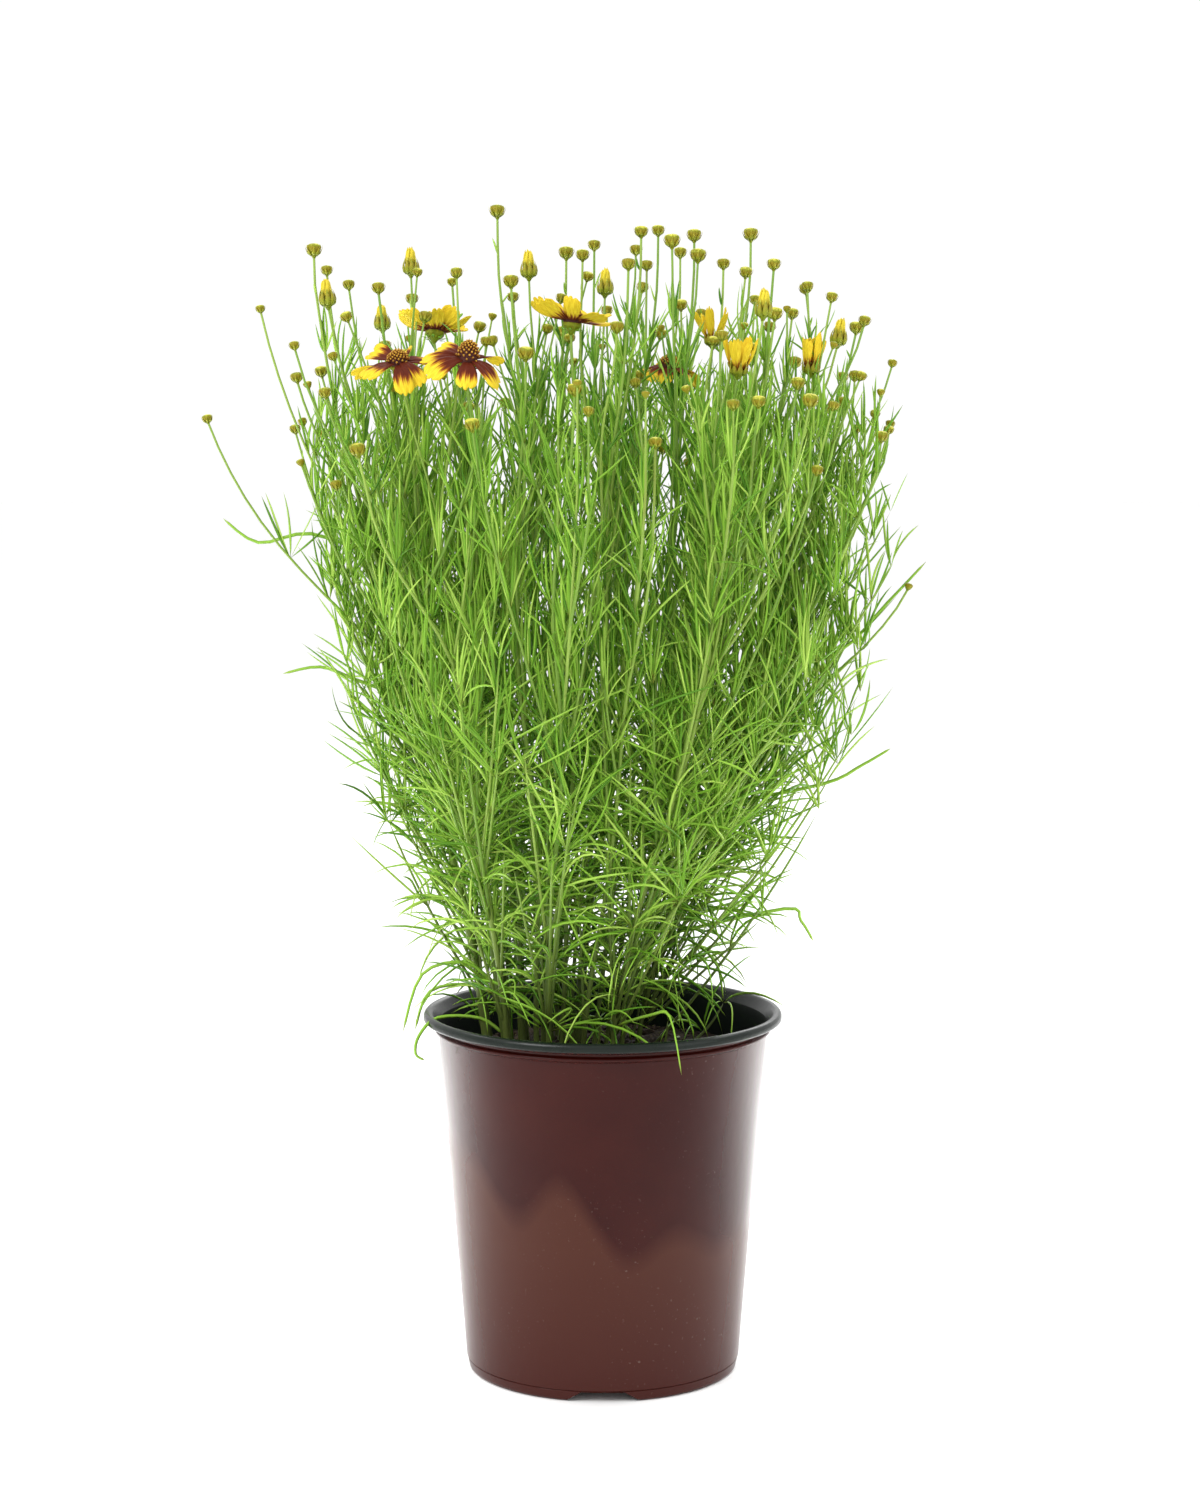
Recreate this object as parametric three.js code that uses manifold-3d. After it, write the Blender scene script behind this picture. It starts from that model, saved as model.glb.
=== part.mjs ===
// A threadleaf coreopsis growing in a one-gallon nursery pot.
// Millimetres, +Z up. The origin is on the pot's axis, on the surface that the pot stands on.

import * as THREE from 'three';
import { mergeVertices } from 'three/addons/utils/BufferGeometryUtils.js';
import Module from 'manifold-3d';

const wasm = await Module();
wasm.setup();

const { degToRad, lerp: mix } = THREE.MathUtils;

const GAP = 0.3; // clearance between pieces that touch

// ---- driving dimensions ----

const POT = {
  sides: 30,
  height: 166.8,
  rimRadius: 82.5,
  lipDepth: 4.2, // height of the turned-out lip
  beadRadius: 77.4,
  beadHeight: 158.6,
  beadDrop: 1.6, // from the middle of the bead down to the wall
  shoulderRadius: 75.7, // outside of the wall just under the bead
  baseRadius: 62.9,
  wall: 1.3,
  floor: 1.6,
  footStep: 5, // height of the scored line above the base
  notchCount: 4,
  notchBottomWidth: 34,
  notchTopWidth: 19.5,
  notchHeight: 4.7,
  notchReach: 18, // how far a drain channel runs in under the floor
  drainRadius: 4,
  drainInset: 2, // from the inner end of a channel to the edge of its drain hole
};

const SOIL = {
  top: 145,
  crown: 3, // how much higher the soil is in the middle
  radius: 72, // at the top, where the crown has run out
  wallPlay: 0.15, // more room at the wall, which leans
  footBevel: 1.6, // cut off the lower edge, clear of the pot's rounded corner
  holeDepth: 9,
};

const STEM = {
  count: 22,
  sides: 4,
  spreadAtSoil: 39, // radius of the clump of stems where it leaves the soil
  spreadAtTop: 142,
  topHeight: 500,
  reach: 0.93, // how far out the outermost stem stands, as a share of the clump's radius
  offset: -12, // from the pot's axis to the middle of the clump, along X
  offsetAtSoil: -20,
  upright: 320, // height at which the clump has come over to its offset
  radiusAtSoil: 2.1,
  radiusAtTop: 0.65,
  step: 70, // height between two rings of a stem
  sway: 2.6,
  swayHeight: 300, // height over which the sway fades out again
  forkFrom: 300, // height at which the first stem turns from its seat to its head
  forkRange: 40,
  neck: 25, // straight end of a stem under its head
};

// A stem that no listed head is near ends in a bud of its own
const SPARE_BUD = { radius: 2.6, lowest: 440, range: 50 };

const BRANCH = {
  sides: 4,
  rootRadius: 0.45,
  radius: 0.85,
  tipRadius: 0.6,
  shortest: 90,
  longest: 165,
  lowest: 185, // height over which stems divide
};

const LEAF = {
  sides: 3,
  radius: 0.82, // a lobe is about 1.4 wide and 1.2 thick
  rootRadius: 0.42,
  lowest: 172,
  step: 58, // height between two pairs of leaves
  lengthAtSoil: 50,
  lengthAtTop: 27,
  topMargin: 58, // bare stalk under a head
  bentBelow: 0.27, // share of the height under which the lobes arch, and over which they are straight
  riseAtSoil: 20, // degrees above the level at which a lobe leaves its stem
  riseAtTop: 62,
  turnAtSoil: -48, // degrees that a lobe turns on its way: down at the bottom, up at the top
  turnAtTop: 22,
  tries: 7,
};

// A head's place is the middle of its underside: x, y, z. Its last number is its radius.
const CLOSED_BUDS = [
  [-48, 20, 529, 3.3], [-129, -10, 510, 3.3], [-128, 45, 504, 2.6], [-119, 60, 498, 2.6],
  [-99, -28, 493, 2.8], [-89, 52, 491, 2.8], [-71, 70, 500, 2.2], [-153, -10, 485, 2.0],
  [-135, -40, 468, 2.2], [-17, 55, 512, 3.3], [-9, -15, 508, 2.8], [-4, 95, 518, 2.8],
  [-40, -45, 495, 3.1], [-41, 25, 491, 2.6], [17, -20, 518, 2.8], [26, 60, 523, 2.8],
  [30, -50, 512, 3.3], [41, -4, 517, 3.1], [16, 100, 516, 2.8], [11, -60, 502, 2.8],
  [20, 15, 505, 2.6], [37, 85, 514, 2.8], [42, -25, 507, 3.3], [67, 10, 518, 3.3],
  [57, 70, 508, 2.8], [75, -35, 503, 2.8], [73, 90, 492, 2.6], [75, -45, 481, 3.1],
  [88, 45, 484, 2.8], [117, 35, 477, 3.1], [116, -20, 479, 2.6], [130, -5, 461, 2.0],
  [-129, 25, 457, 2.8], [-136, -20, 454, 2.6], [-120, -60, 447, 2.6], [-176, -20, 436, 2.2],
  [-141, 22, 431, 2.4], [-105, -75, 422, 3.3], [-117, -42, 407, 2.4], [-33, -78, 463, 3.3],
  [-12, -95, 448, 2.8], [6, -62, 475, 2.8], [-55, -97, 433, 3.1], [22, -103, 426, 2.6],
  [84, -64, 451, 2.8], [88, -84, 443, 3.3], [66, -88, 443, 2.8], [110, 20, 443, 2.8],
  [112, 52, 455, 2.6], [128, -12, 431, 2.2], [92, -72, 414, 2.4], [139, 4, 360, 1.9],
  [-104, 88, 470, 2.8], [-66, 112, 462, 3.1], [-20, 122, 478, 2.6], [48, 118, 486, 2.8],
  [92, 92, 462, 3.1], [108, 74, 440, 2.6], [2, 60, 486, 2.6],
];

const OPENING_BUDS = [
  [-122, -20, 487], [-102, 40, 478], [-88, 28, 503], [-33, -10, 500], [1, 35, 494],
  [105, -10, 470], [69, -62, 481],
];
const OPENING = { cupRadius: 3.4, cupHeight: 3.2, coneRadius: 3.9, coneHeight: 9.5 };

const HALF_OPEN = [
  { at: [50, 14, 470], petals: 7, flare: 16 },
  { at: [59, -45, 456], petals: 7, flare: 20 },
  { at: [92, -25, 457], petals: 6, flare: 9 },
];
const HALF_PETAL = { length: 15, radius: 3.6, wall: 0.9 };

// Open blooms: lean is the way that the face tips, droop how far the petals hang down, in degrees
const BLOOMS = [
  { at: [-88, -58, 458], lean: [-0.1, -0.34], droop: 32, petals: 8, length: 23 },
  { at: [-58, -84, 459], lean: [0.16, -0.42], droop: 50, petals: 8, length: 21 },
  { at: [-76, -2, 473], lean: [0.1, 0.3], droop: -34, petals: 8, length: 20 },
  { at: [-14, -36, 476], lean: [0.12, 0.04], droop: -30, petals: 8, length: 21 },
  { at: [30, 28, 457], lean: [0.1, -0.2], droop: 66, petals: 8, length: 18 },
];
const PETAL = {
  width: 10.6,
  thickness: 0.8,
  rootRadius: 4.8,
  notch: 0.09,
  room: 0.96, // the most that a petal takes of the room up to its neighbours
};
const BLOOM = { cupRadius: 4.6, cupHeight: 4.2, discRadius: 4.1, discHeight: 4.6 };
const ORIGIN = new THREE.Vector2(0, 0);

// Long leaves with a course of their own: root on the nearest stem, then the way and the tip
const STRAY_LEAVES = [
  [[21, -62, 176], [29, -86, 180], [34, -95, 156]],
  [[-62, -20, 192], [-82, -22, 187], [-91, -22, 160]],
  [[-60, 8, 176], [-80, 6, 174], [-87, 4, 156]],
  [[-132, -4, 386], [-156, -4, 382], [-172, -4, 393]],
  [[-112, -8, 320], [-128, -10, 326], [-145, -12, 323]],
  [[108, 4, 332], [130, 6, 354], [148, 8, 373]],
  [[100, -6, 272], [118, -8, 281], [131, -10, 289]],
  [[84, 10, 212], [92, 12, 206], [98, 14, 196]],
];

const COLOUR = {
  leaf: 0x6f9e2c,
  petal: 0xe0b421,
  maroonPetal: 0xb98a1c,
  disc: 0x6e3a1c,
  pot: 0x4f2426,
  soil: 0x2c2119,
};

// ---- random draws and solids ----

function seededRandom(seed) {
  let state = seed >>> 0;
  return () => {
    state = (Math.imul(state, 1664525) + 1013904223) >>> 0;
    return state / 4294967296;
  };
}

function toSolid(geometry) {
  const bare = geometry.clone();
  bare.deleteAttribute('normal');
  bare.deleteAttribute('uv');
  const merged = mergeVertices(bare, 1e-4);
  return new wasm.Manifold(new wasm.Mesh({
    numProp: 3,
    vertProperties: merged.attributes.position.array,
    triVerts: Uint32Array.from(merged.index.array),
  }));
}

function toMesh(name, solid, colour, roughness = 0.6) {
  const { vertProperties, triVerts } = solid.getMesh();
  const geometry = new THREE.BufferGeometry();
  geometry.setAttribute('position', new THREE.BufferAttribute(vertProperties, 3));
  geometry.setIndex(new THREE.BufferAttribute(triVerts, 1));
  geometry.computeVertexNormals();
  const material = new THREE.MeshStandardMaterial({ color: colour, roughness, metalness: 0 });
  const mesh = new THREE.Mesh(geometry, material);
  mesh.name = name;
  return mesh;
}

// Turns a lathe profile of [radius, height] points round the Z axis
function turned(profile, sides) {
  const points = profile.map(([radius, height]) => new THREE.Vector2(radius, height));
  return new THREE.LatheGeometry(points, sides).rotateX(Math.PI / 2);
}

// Which of a turned shape's columns a point is in
function columnOf(x, y, sides) {
  const column = Math.round(((Math.atan2(y, x) + Math.PI / 2) * sides) / (2 * Math.PI));
  return (column + sides) % sides;
}

// Bends a geometry that runs from 0 to 1 along Z onto a path, scaled by the radius at each ring
function alongPath(geometry, path, radii) {
  const steps = path.length - 1;
  const position = geometry.attributes.position;
  const upright = new THREE.Vector3(0, 0, 1);
  const turns = path.map((point, i) => {
    const ahead = path[Math.min(i + 1, steps)];
    const behind = path[Math.max(i - 1, 0)];
    const way = ahead.clone().sub(behind).normalize();
    return new THREE.Quaternion().setFromUnitVectors(upright, way);
  });
  const corner = new THREE.Vector3();
  for (let i = 0; i < position.count; i++) {
    const ring = Math.round(position.getZ(i) * steps);
    corner.set(position.getX(i), position.getY(i), 0).multiplyScalar(radii[ring]);
    corner.applyQuaternion(turns[ring]).add(path[ring]);
    position.setXYZ(i, corner.x, corner.y, corner.z);
  }
  return geometry;
}

// A tube through the points of a path; a last radius of 0 ends it in a point
function strand(path, radii, sides, facing = 0) {
  const steps = path.length - 1;
  const tip = radii[steps] > 0 ? 1 : 0;
  const shape = new THREE.CylinderGeometry(tip, 1, 1, sides, steps);
  shape.rotateX(Math.PI / 2).rotateZ(facing).translate(0, 0, 0.5);
  if (tip === 0) straightenSides(shape);
  return toSolid(alongPath(shape, path, radii));
}

// Gives a cone of radius 1 straight sides up to its tip, so that its rings can be scaled
function straightenSides(shape) {
  const position = shape.attributes.position;
  for (let i = 0; i < position.count; i++) {
    const wide = Math.hypot(position.getX(i), position.getY(i));
    if (wide > 1e-6) position.setXY(i, position.getX(i) / wide, position.getY(i) / wide);
  }
}

// Stands a geometry made round +Z on a point, with its +Z along a direction
function standOn(geometry, point, direction) {
  const turn = new THREE.Quaternion().setFromUnitVectors(new THREE.Vector3(0, 0, 1), direction);
  return geometry.applyQuaternion(turn).translate(point.x, point.y, point.z);
}

// ---- pot and soil ----

function wallRadius(height) {
  const share = height / (POT.beadHeight - POT.beadDrop);
  return POT.baseRadius + (POT.shoulderRadius - POT.baseRadius) * share;
}

// The part of a wedge-shaped drain channel that lies within a distance of its faces
function channel(margin, inner, outer) {
  const half = POT.notchBottomWidth / 2 + margin;
  const halfTop = POT.notchTopWidth / 2 + margin;
  const top = POT.notchHeight + margin;
  const below = -2;
  const flare = (half - halfTop) / top;
  const outline = new THREE.Shape([
    new THREE.Vector2(-half + flare * below, below),
    new THREE.Vector2(half - flare * below, below),
    new THREE.Vector2(halfTop, top),
    new THREE.Vector2(-halfTop, top),
  ]);
  const bar = new THREE.ExtrudeGeometry(outline, { depth: outer - inner, bevelEnabled: false });
  return bar.rotateX(Math.PI / 2).translate(0, -inner, 0);
}

function aroundPot(make) {
  const solids = [];
  for (let i = 0; i < POT.notchCount; i++) {
    solids.push(toSolid(make().rotateZ((i * 2 * Math.PI) / POT.notchCount)));
  }
  return wasm.Manifold.union(solids);
}

function makePot() {
  const rim = POT.height;
  const lipUnder = rim - POT.lipDepth;
  const bead = POT.beadHeight;
  const outside = [
    [0, 0],
    [POT.baseRadius - 1.8, 0],
    [POT.baseRadius - 0.3, 1.5],
    [wallRadius(POT.footStep) - 0.2, POT.footStep],
    [POT.shoulderRadius, bead - POT.beadDrop],
    [POT.beadRadius, bead - 0.7],
    [POT.beadRadius, bead + 0.7],
    [POT.beadRadius - 0.9, bead + 1.5],
    [POT.rimRadius - 0.6, lipUnder],
    [POT.rimRadius, lipUnder + 0.9],
    [POT.rimRadius, rim - 1.6],
    [POT.rimRadius - 1.5, rim],
    [POT.rimRadius - 2.6, rim],
  ];
  const inside = [
    [POT.rimRadius - 4.4, rim - 1.4],
    [POT.beadRadius - 1.6, bead + 3],
    [POT.shoulderRadius - POT.wall, bead - 1],
    [wallRadius(POT.floor + 1.5) - POT.wall, POT.floor + 1.5],
    [POT.baseRadius - POT.wall - 1.4, POT.floor],
    [0, POT.floor],
  ];
  const shell = toSolid(turned([...outside, ...inside], POT.sides));
  const filled = toSolid(turned([...outside, [0, rim]], POT.sides));
  const innerEnd = POT.baseRadius - POT.notchReach;
  const roofs = aroundPot(() => channel(POT.floor, innerEnd - POT.floor, POT.baseRadius + 4));
  const channels = aroundPot(() => channel(0, innerEnd, POT.baseRadius + 4));
  const drains = aroundPot(() => {
    const drain = new THREE.CylinderGeometry(POT.drainRadius, POT.drainRadius, 12, 10);
    const out = innerEnd + POT.drainRadius + POT.drainInset;
    return drain.rotateX(Math.PI / 2).translate(0, -out, POT.notchHeight);
  });
  const kept = roofs.intersect(filled);
  return shell.add(kept).subtract(channels).subtract(drains);
}

function soilHeight(radius) {
  return SOIL.top + SOIL.crown * (1 - (radius / SOIL.radius) ** 2);
}

function makeSoil(stems) {
  const low = POT.floor + GAP;
  const floorEdge = wallRadius(low) - POT.wall - GAP - SOIL.footBevel;
  const topEdge = wallRadius(SOIL.top) - POT.wall - 2 * GAP - SOIL.wallPlay;
  const profile = [
    [0, low],
    [floorEdge, low],
    [floorEdge + SOIL.footBevel - SOIL.wallPlay, low + SOIL.footBevel],
    [topEdge, SOIL.top],
    [SOIL.radius / 2, soilHeight(SOIL.radius / 2)],
    [0, soilHeight(0)],
  ];
  const ball = toSolid(turned(profile, POT.sides));
  const innerEnd = POT.baseRadius - POT.notchReach;
  const margin = POT.floor + GAP;
  const roofs = aroundPot(() => channel(margin, innerEnd - margin, POT.baseRadius + 4));
  const holes = wasm.Manifold.union(stems.map((stem) => stemHole(stem)));
  return ball.subtract(roofs).subtract(holes);
}

// The hole follows the buried end of the stem, which stands upright in it
function stemHole(stem) {
  const foot = stem.path[0];
  const radius = stem.radii[0] + GAP / Math.cos(Math.PI / STEM.sides);
  const bottom = new THREE.Vector3(foot.x, foot.y, foot.z - GAP);
  const top = new THREE.Vector3(foot.x, foot.y, SOIL.top + 4 * SOIL.crown);
  return strand([bottom, top], [radius, radius], STEM.sides, stem.facing);
}

// ---- skeleton of the plant ----

// Radius of the whole clump at a height: narrow at the soil, like a vase above
function spread(height) {
  const share = (height - SOIL.top) / (STEM.topHeight - SOIL.top);
  const s = Math.min(Math.max(share, 0), 1);
  return mix(STEM.spreadAtSoil, STEM.spreadAtTop, 0.4 * ease(s) + 0.6 * s);
}

// Where the middle of the clump is, along X: it leans over from its foot
function middle(height) {
  const share = (height - SOIL.top) / (STEM.upright - SOIL.top);
  return mix(STEM.offsetAtSoil, STEM.offset, ease(Math.min(Math.max(share, 0), 1)));
}

// Every place in the clump is a seat on a disc of radius 1, opened out by the spread at its height
function seatToPlace(seat, height) {
  const radius = spread(height);
  return new THREE.Vector3(seat.x * radius + middle(height), seat.y * radius, height);
}

function headSeat(head) {
  const radius = spread(head.place.z);
  return new THREE.Vector2((head.place.x - middle(head.place.z)) / radius, head.place.y / radius);
}

function stemSeat(index) {
  const goldenTurn = Math.PI * (3 - Math.sqrt(5));
  const out = STEM.reach * Math.sqrt((index + 0.5) / STEM.count);
  return new THREE.Vector2(out * Math.cos(index * goldenTurn), out * Math.sin(index * goldenTurn));
}

function ease(share) {
  return share * share * (3 - 2 * share);
}

function allHeads() {
  const heads = [];
  const add = (kind, at, extra) => heads.push({ kind, place: new THREE.Vector3(...at), ...extra });
  CLOSED_BUDS.forEach(([x, y, z, radius]) => add('closed', [x, y, z], { radius }));
  OPENING_BUDS.forEach((at, i) => add('opening', at, { name: `opening_bud_${i + 1}` }));
  HALF_OPEN.forEach((bloom, i) => add('half', bloom.at, { ...bloom, name: `half_open_bloom_${i + 1}` }));
  BLOOMS.forEach((bloom, i) => add('bloom', bloom.at, { ...bloom, name: `bloom_${i + 1}` }));
  return heads;
}

function makeStems() {
  const stems = [];
  for (let i = 0; i < STEM.count; i++) {
    const random = seededRandom(101 + 37 * i);
    stems.push({ index: i, seat: stemSeat(i), facing: random() * Math.PI, heads: [], random });
  }
  allHeads().forEach((head) => {
    head.seat = headSeat(head);
    const away = (stem) => stem.seat.distanceTo(head.seat);
    const nearest = stems.reduce((best, stem) => (away(stem) < away(best) ? stem : best));
    nearest.heads.push(head);
  });
  stems.forEach(growStem);
  return stems;
}

function growStem(stem) {
  const { random, seat } = stem;
  if (stem.heads.length === 0) {
    const place = seatToPlace(seat, SPARE_BUD.lowest + SPARE_BUD.range * random());
    stem.heads.push({ kind: 'closed', radius: SPARE_BUD.radius, seat, place });
  }
  stem.heads.sort((a, b) => b.place.z - a.place.z);
  const leader = stem.heads[0];
  const fork = STEM.forkFrom + STEM.forkRange * random();
  const phase = 2 * Math.PI * random();
  stem.seatAt = (height) => {
    const share = Math.min(Math.max((height - fork) / (leader.place.z - STEM.neck - fork), 0), 1);
    return seat.clone().lerp(leader.seat, ease(share));
  };
  stem.placeAt = (height) => {
    const place = seatToPlace(stem.seatAt(height), height);
    const free = Math.sin(Math.PI * Math.min(Math.max((height - SOIL.top) / STEM.swayHeight, 0), 1));
    place.x += STEM.sway * free * Math.sin(height / 37 + phase);
    place.y += STEM.sway * free * Math.cos(height / 41 + phase);
    return place;
  };
  const foot = stem.placeAt(SOIL.top);
  const ground = soilHeight(Math.hypot(foot.x, foot.y));
  stem.path = [foot.clone().setZ(ground - SOIL.holeDepth), foot.clone().setZ(ground + 1)];
  const rest = leader.place.z - ground;
  const steps = Math.round(rest / STEM.step);
  for (let k = 1; k < steps; k++) stem.path.push(stem.placeAt(ground + (rest * k) / steps));
  stem.path.push(leader.place);
  stem.radiusAt = (height) => {
    const share = Math.min(Math.max((height - SOIL.top) / (leader.place.z - SOIL.top), 0), 1);
    return mix(STEM.radiusAtSoil, STEM.radiusAtTop, Math.sqrt(share));
  };
  stem.radii = stem.path.map((point) => stem.radiusAt(point.z));
  leader.way = new THREE.Vector3(0, 0, 1);
  stem.branches = stem.heads.slice(1).map((head) => growBranch(stem, head));
}

// Where the stem's middle is at a height
function onStem(stem, height) {
  const k = stem.path.findIndex((point) => point.z > height);
  const [low, high] = [stem.path[k - 1], stem.path[k]];
  return low.clone().lerp(high, (height - low.z) / (high.z - low.z));
}

function growBranch(stem, head) {
  const length = mix(BRANCH.shortest, BRANCH.longest, stem.random());
  const start = Math.max(head.place.z - length, BRANCH.lowest);
  const from = stem.seatAt(start);
  const path = [0, 0.35, 1].map((share) => {
    const height = start + (head.place.z - start) * share;
    const seat = from.clone().lerp(head.seat, Math.sin((share * Math.PI) / 2));
    return seatToPlace(seat, height);
  });
  path[0] = onStem(stem, start);
  path[2] = head.place;
  const radii = [BRANCH.rootRadius, BRANCH.radius, BRANCH.tipRadius];
  head.way = path[2].clone().sub(path[1]).normalize().lerp(new THREE.Vector3(0, 0, 1), 0.6).normalize();
  return { head, path, radii };
}

// ---- heads ----

function bloomWay(head) {
  if (head.lean) return new THREE.Vector3(head.lean[0], head.lean[1], 1).normalize();
  return head.way;
}

// A closed bud is the stalk's own end, swollen: rings of [distance, radius] in bud radii
const BUD_RINGS = [[0.2, 0.95], [0.95, 0.95], [1.45, 0.5]];

function withBud(path, radii, head) {
  if (head.kind !== 'closed') return { path, radii };
  const rings = BUD_RINGS.map(([along]) => head.place.clone().addScaledVector(head.way, along * head.radius));
  const tip = head.place.clone().addScaledVector(head.way, 1.6 * head.radius);
  return {
    path: [...path, ...rings, tip],
    radii: [...radii, ...BUD_RINGS.map(([, wide]) => wide * head.radius), 0],
  };
}

// The green cup that holds a bloom, with a flat top
function cup(head, radius, height) {
  const profile = [
    [0, -1.5],
    [radius * 0.72, 0.2],
    [radius, height * 0.6],
    [radius * 0.94, height],
    [0, height],
  ];
  return toSolid(standOn(turned(profile, 6), head.place, bloomWay(head)));
}

function cupOf(head) {
  if (head.kind === 'bloom') return cup(head, BLOOM.cupRadius, BLOOM.cupHeight);
  return cup(head, OPENING.cupRadius, OPENING.cupHeight);
}

function openingCone(head) {
  const { cupHeight, coneRadius: r, coneHeight } = OPENING;
  const low = cupHeight + GAP;
  const profile = [
    [0, low],
    [r * 0.72, low],
    [r, low + coneHeight * 0.4],
    [r * 0.62, low + coneHeight * 0.8],
    [0, low + coneHeight],
  ];
  return toSolid(standOn(turned(profile, 6), head.place, head.way));
}

// The course of a petal that starts level and turns down (or up) to an angle at its tip
function arched(length, startAngle, endAngle) {
  return (share) => {
    const steps = 12;
    let along = 0;
    let up = 0;
    for (let k = 0; k < steps; k++) {
      const angle = startAngle + (endAngle - startAngle) * ((share * (k + 0.5)) / steps);
      along += (Math.cos(angle) * share * length) / steps;
      up += (Math.sin(angle) * share * length) / steps;
    }
    return { along, up };
  };
}

// The half outline of a petal: [share of its length, share of its half width]
const PETAL_OUTLINE = [[0.5, 0.8], [0.82, 1], [1, 0.5]];

// All rays of a bloom in one outline round the middle, which then droops with the distance from it
function openRays(head) {
  const { width, thickness, notch, rootRadius, room } = PETAL;
  const half = Math.PI / head.petals;
  const side = PETAL_OUTLINE.map(([share, wide]) => {
    const along = share * head.length;
    return [along, Math.min((wide * width) / 2, room * along * Math.sin(half))];
  });
  const points = [];
  for (let i = 0; i < head.petals; i++) {
    const turn = 2 * half * i;
    const add = (along, across) => points.push(new THREE.Vector2(along, across).rotateAround(ORIGIN, turn));
    points.push(new THREE.Vector2(rootRadius, 0).rotateAround(ORIGIN, turn - half));
    side.forEach(([along, across]) => add(along, -across));
    add((1 - notch) * head.length, 0);
    side.toReversed().forEach(([along, across]) => add(along, across));
  }
  const rays = new THREE.ExtrudeGeometry(new THREE.Shape(points), { depth: thickness, bevelEnabled: false });
  const course = arched(head.length, 0.1, degToRad(-head.droop));
  const base = BLOOM.cupHeight + GAP;
  const position = rays.attributes.position;
  for (let i = 0; i < position.count; i++) {
    const out = Math.hypot(position.getX(i), position.getY(i));
    const { along, up } = course(Math.max(out - rootRadius, 0) / head.length);
    const drawn = (Math.min(out, rootRadius) + along) / out;
    position.setX(i, position.getX(i) * drawn);
    position.setY(i, position.getY(i) * drawn);
    position.setZ(i, position.getZ(i) + base + up);
  }
  return toSolid(standOn(rays, head.place, bloomWay(head)));
}

// Petals that still stand up round each other: a crown with a point for each petal
function halfOpenRays(head) {
  const { length, radius, wall } = HALF_PETAL;
  const base = OPENING.cupHeight + GAP;
  const flare = Math.tan(degToRad(head.flare)) * length;
  const profile = [
    [0, base],
    [radius * 0.8, base],
    [radius + flare * 0.45, base + length * 0.5],
    [radius + flare, base + length],
    [radius + flare - wall, base + length],
    [radius - wall, base + length * 0.3],
    [0, base + length * 0.25],
  ];
  const columns = 2 * head.petals;
  const crown = turned(profile, columns);
  const position = crown.attributes.position;
  for (let i = 0; i < position.count; i++) {
    const column = columnOf(position.getX(i), position.getY(i), columns);
    const share = Math.max((position.getZ(i) - base) / length, 0);
    if (column % 2 === 0) continue;
    const inward = 1 - 0.16 * Math.min(3 * share, 1);
    position.setX(i, position.getX(i) * inward);
    position.setY(i, position.getY(i) * inward);
    position.setZ(i, position.getZ(i) - 0.3 * length * share * share);
  }
  return toSolid(standOn(crown, head.place, head.way));
}

// The brown middle of a bloom: a dome whose small florets are raised points
function floretDisc(head) {
  const base = BLOOM.cupHeight + PETAL.thickness + 2 * GAP;
  const { discRadius: radius, discHeight: height } = BLOOM;
  const shares = [0, 0.3, 0.6, 0.85];
  const rows = shares.map((share) => [radius * Math.sqrt(1 - share ** 2), base + height * share]);
  const columns = 10;
  const dome = turned([[0, base], ...rows, [0, base + height]], columns);
  const position = dome.attributes.position;
  for (let i = 0; i < position.count; i++) {
    const up = position.getZ(i) - base;
    const column = columnOf(position.getX(i), position.getY(i), columns);
    const row = rows.findIndex((point) => Math.abs(point[1] - position.getZ(i)) < 0.01);
    if (row < 1) continue;
    const raised = (row + column) % 2 === 0 ? 1.12 : 0.92;
    position.setXYZ(i, position.getX(i) * raised, position.getY(i) * raised, base + up * raised);
  }
  return toSolid(standOn(dome, head.place, bloomWay(head)));
}

// ---- leaves ----

// What already takes up room: lines with a radius, each with its owner
const taken = [];

function take(owner, path, radii) {
  for (let k = 1; k < path.length; k++) {
    const radius = Math.max(radii[k - 1], radii[k]);
    taken.push({ owner, line: new THREE.Line3(path[k - 1], path[k]), radius });
  }
}

function potIsClear(point, radius) {
  const out = Math.hypot(point.x, point.y);
  if (point.z < soilHeight(out) + radius + 1 && out < 80) return false;
  const nearWall = out + radius + 1 > POT.shoulderRadius - 3 && out - radius - 1 < POT.rimRadius;
  return !(nearWall && point.z < POT.height + radius + 1);
}

function isClear(owner, path, radius) {
  const point = new THREE.Vector3();
  const nearest = new THREE.Vector3();
  for (let k = 1; k < path.length; k++) {
    const samples = Math.ceil(path[k].distanceTo(path[k - 1]) / 2);
    for (let s = 0; s <= samples; s++) {
      point.lerpVectors(path[k - 1], path[k], s / samples);
      if (!potIsClear(point, radius)) return false;
      for (const other of taken) {
        if (other.owner === owner) continue;
        other.line.closestPointToPoint(point, true, nearest);
        if (nearest.distanceTo(point) < radius + other.radius + GAP + 0.3) return false;
      }
    }
  }
  return true;
}

// A lobe leaves its stem at an angle above the level, and turns up or down on its way
function leafPath(root, heading, rise, turn, length, steps) {
  const path = [root.clone()];
  for (let k = 1; k <= steps; k++) {
    const angle = rise + turn * ((k - 0.5) / steps);
    const last = path[k - 1];
    const forward = (length / steps) * Math.cos(angle);
    const up = (length / steps) * Math.sin(angle);
    path.push(new THREE.Vector3(
      last.x + forward * Math.cos(heading),
      last.y + forward * Math.sin(heading),
      last.z + up,
    ));
  }
  return path;
}

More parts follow.
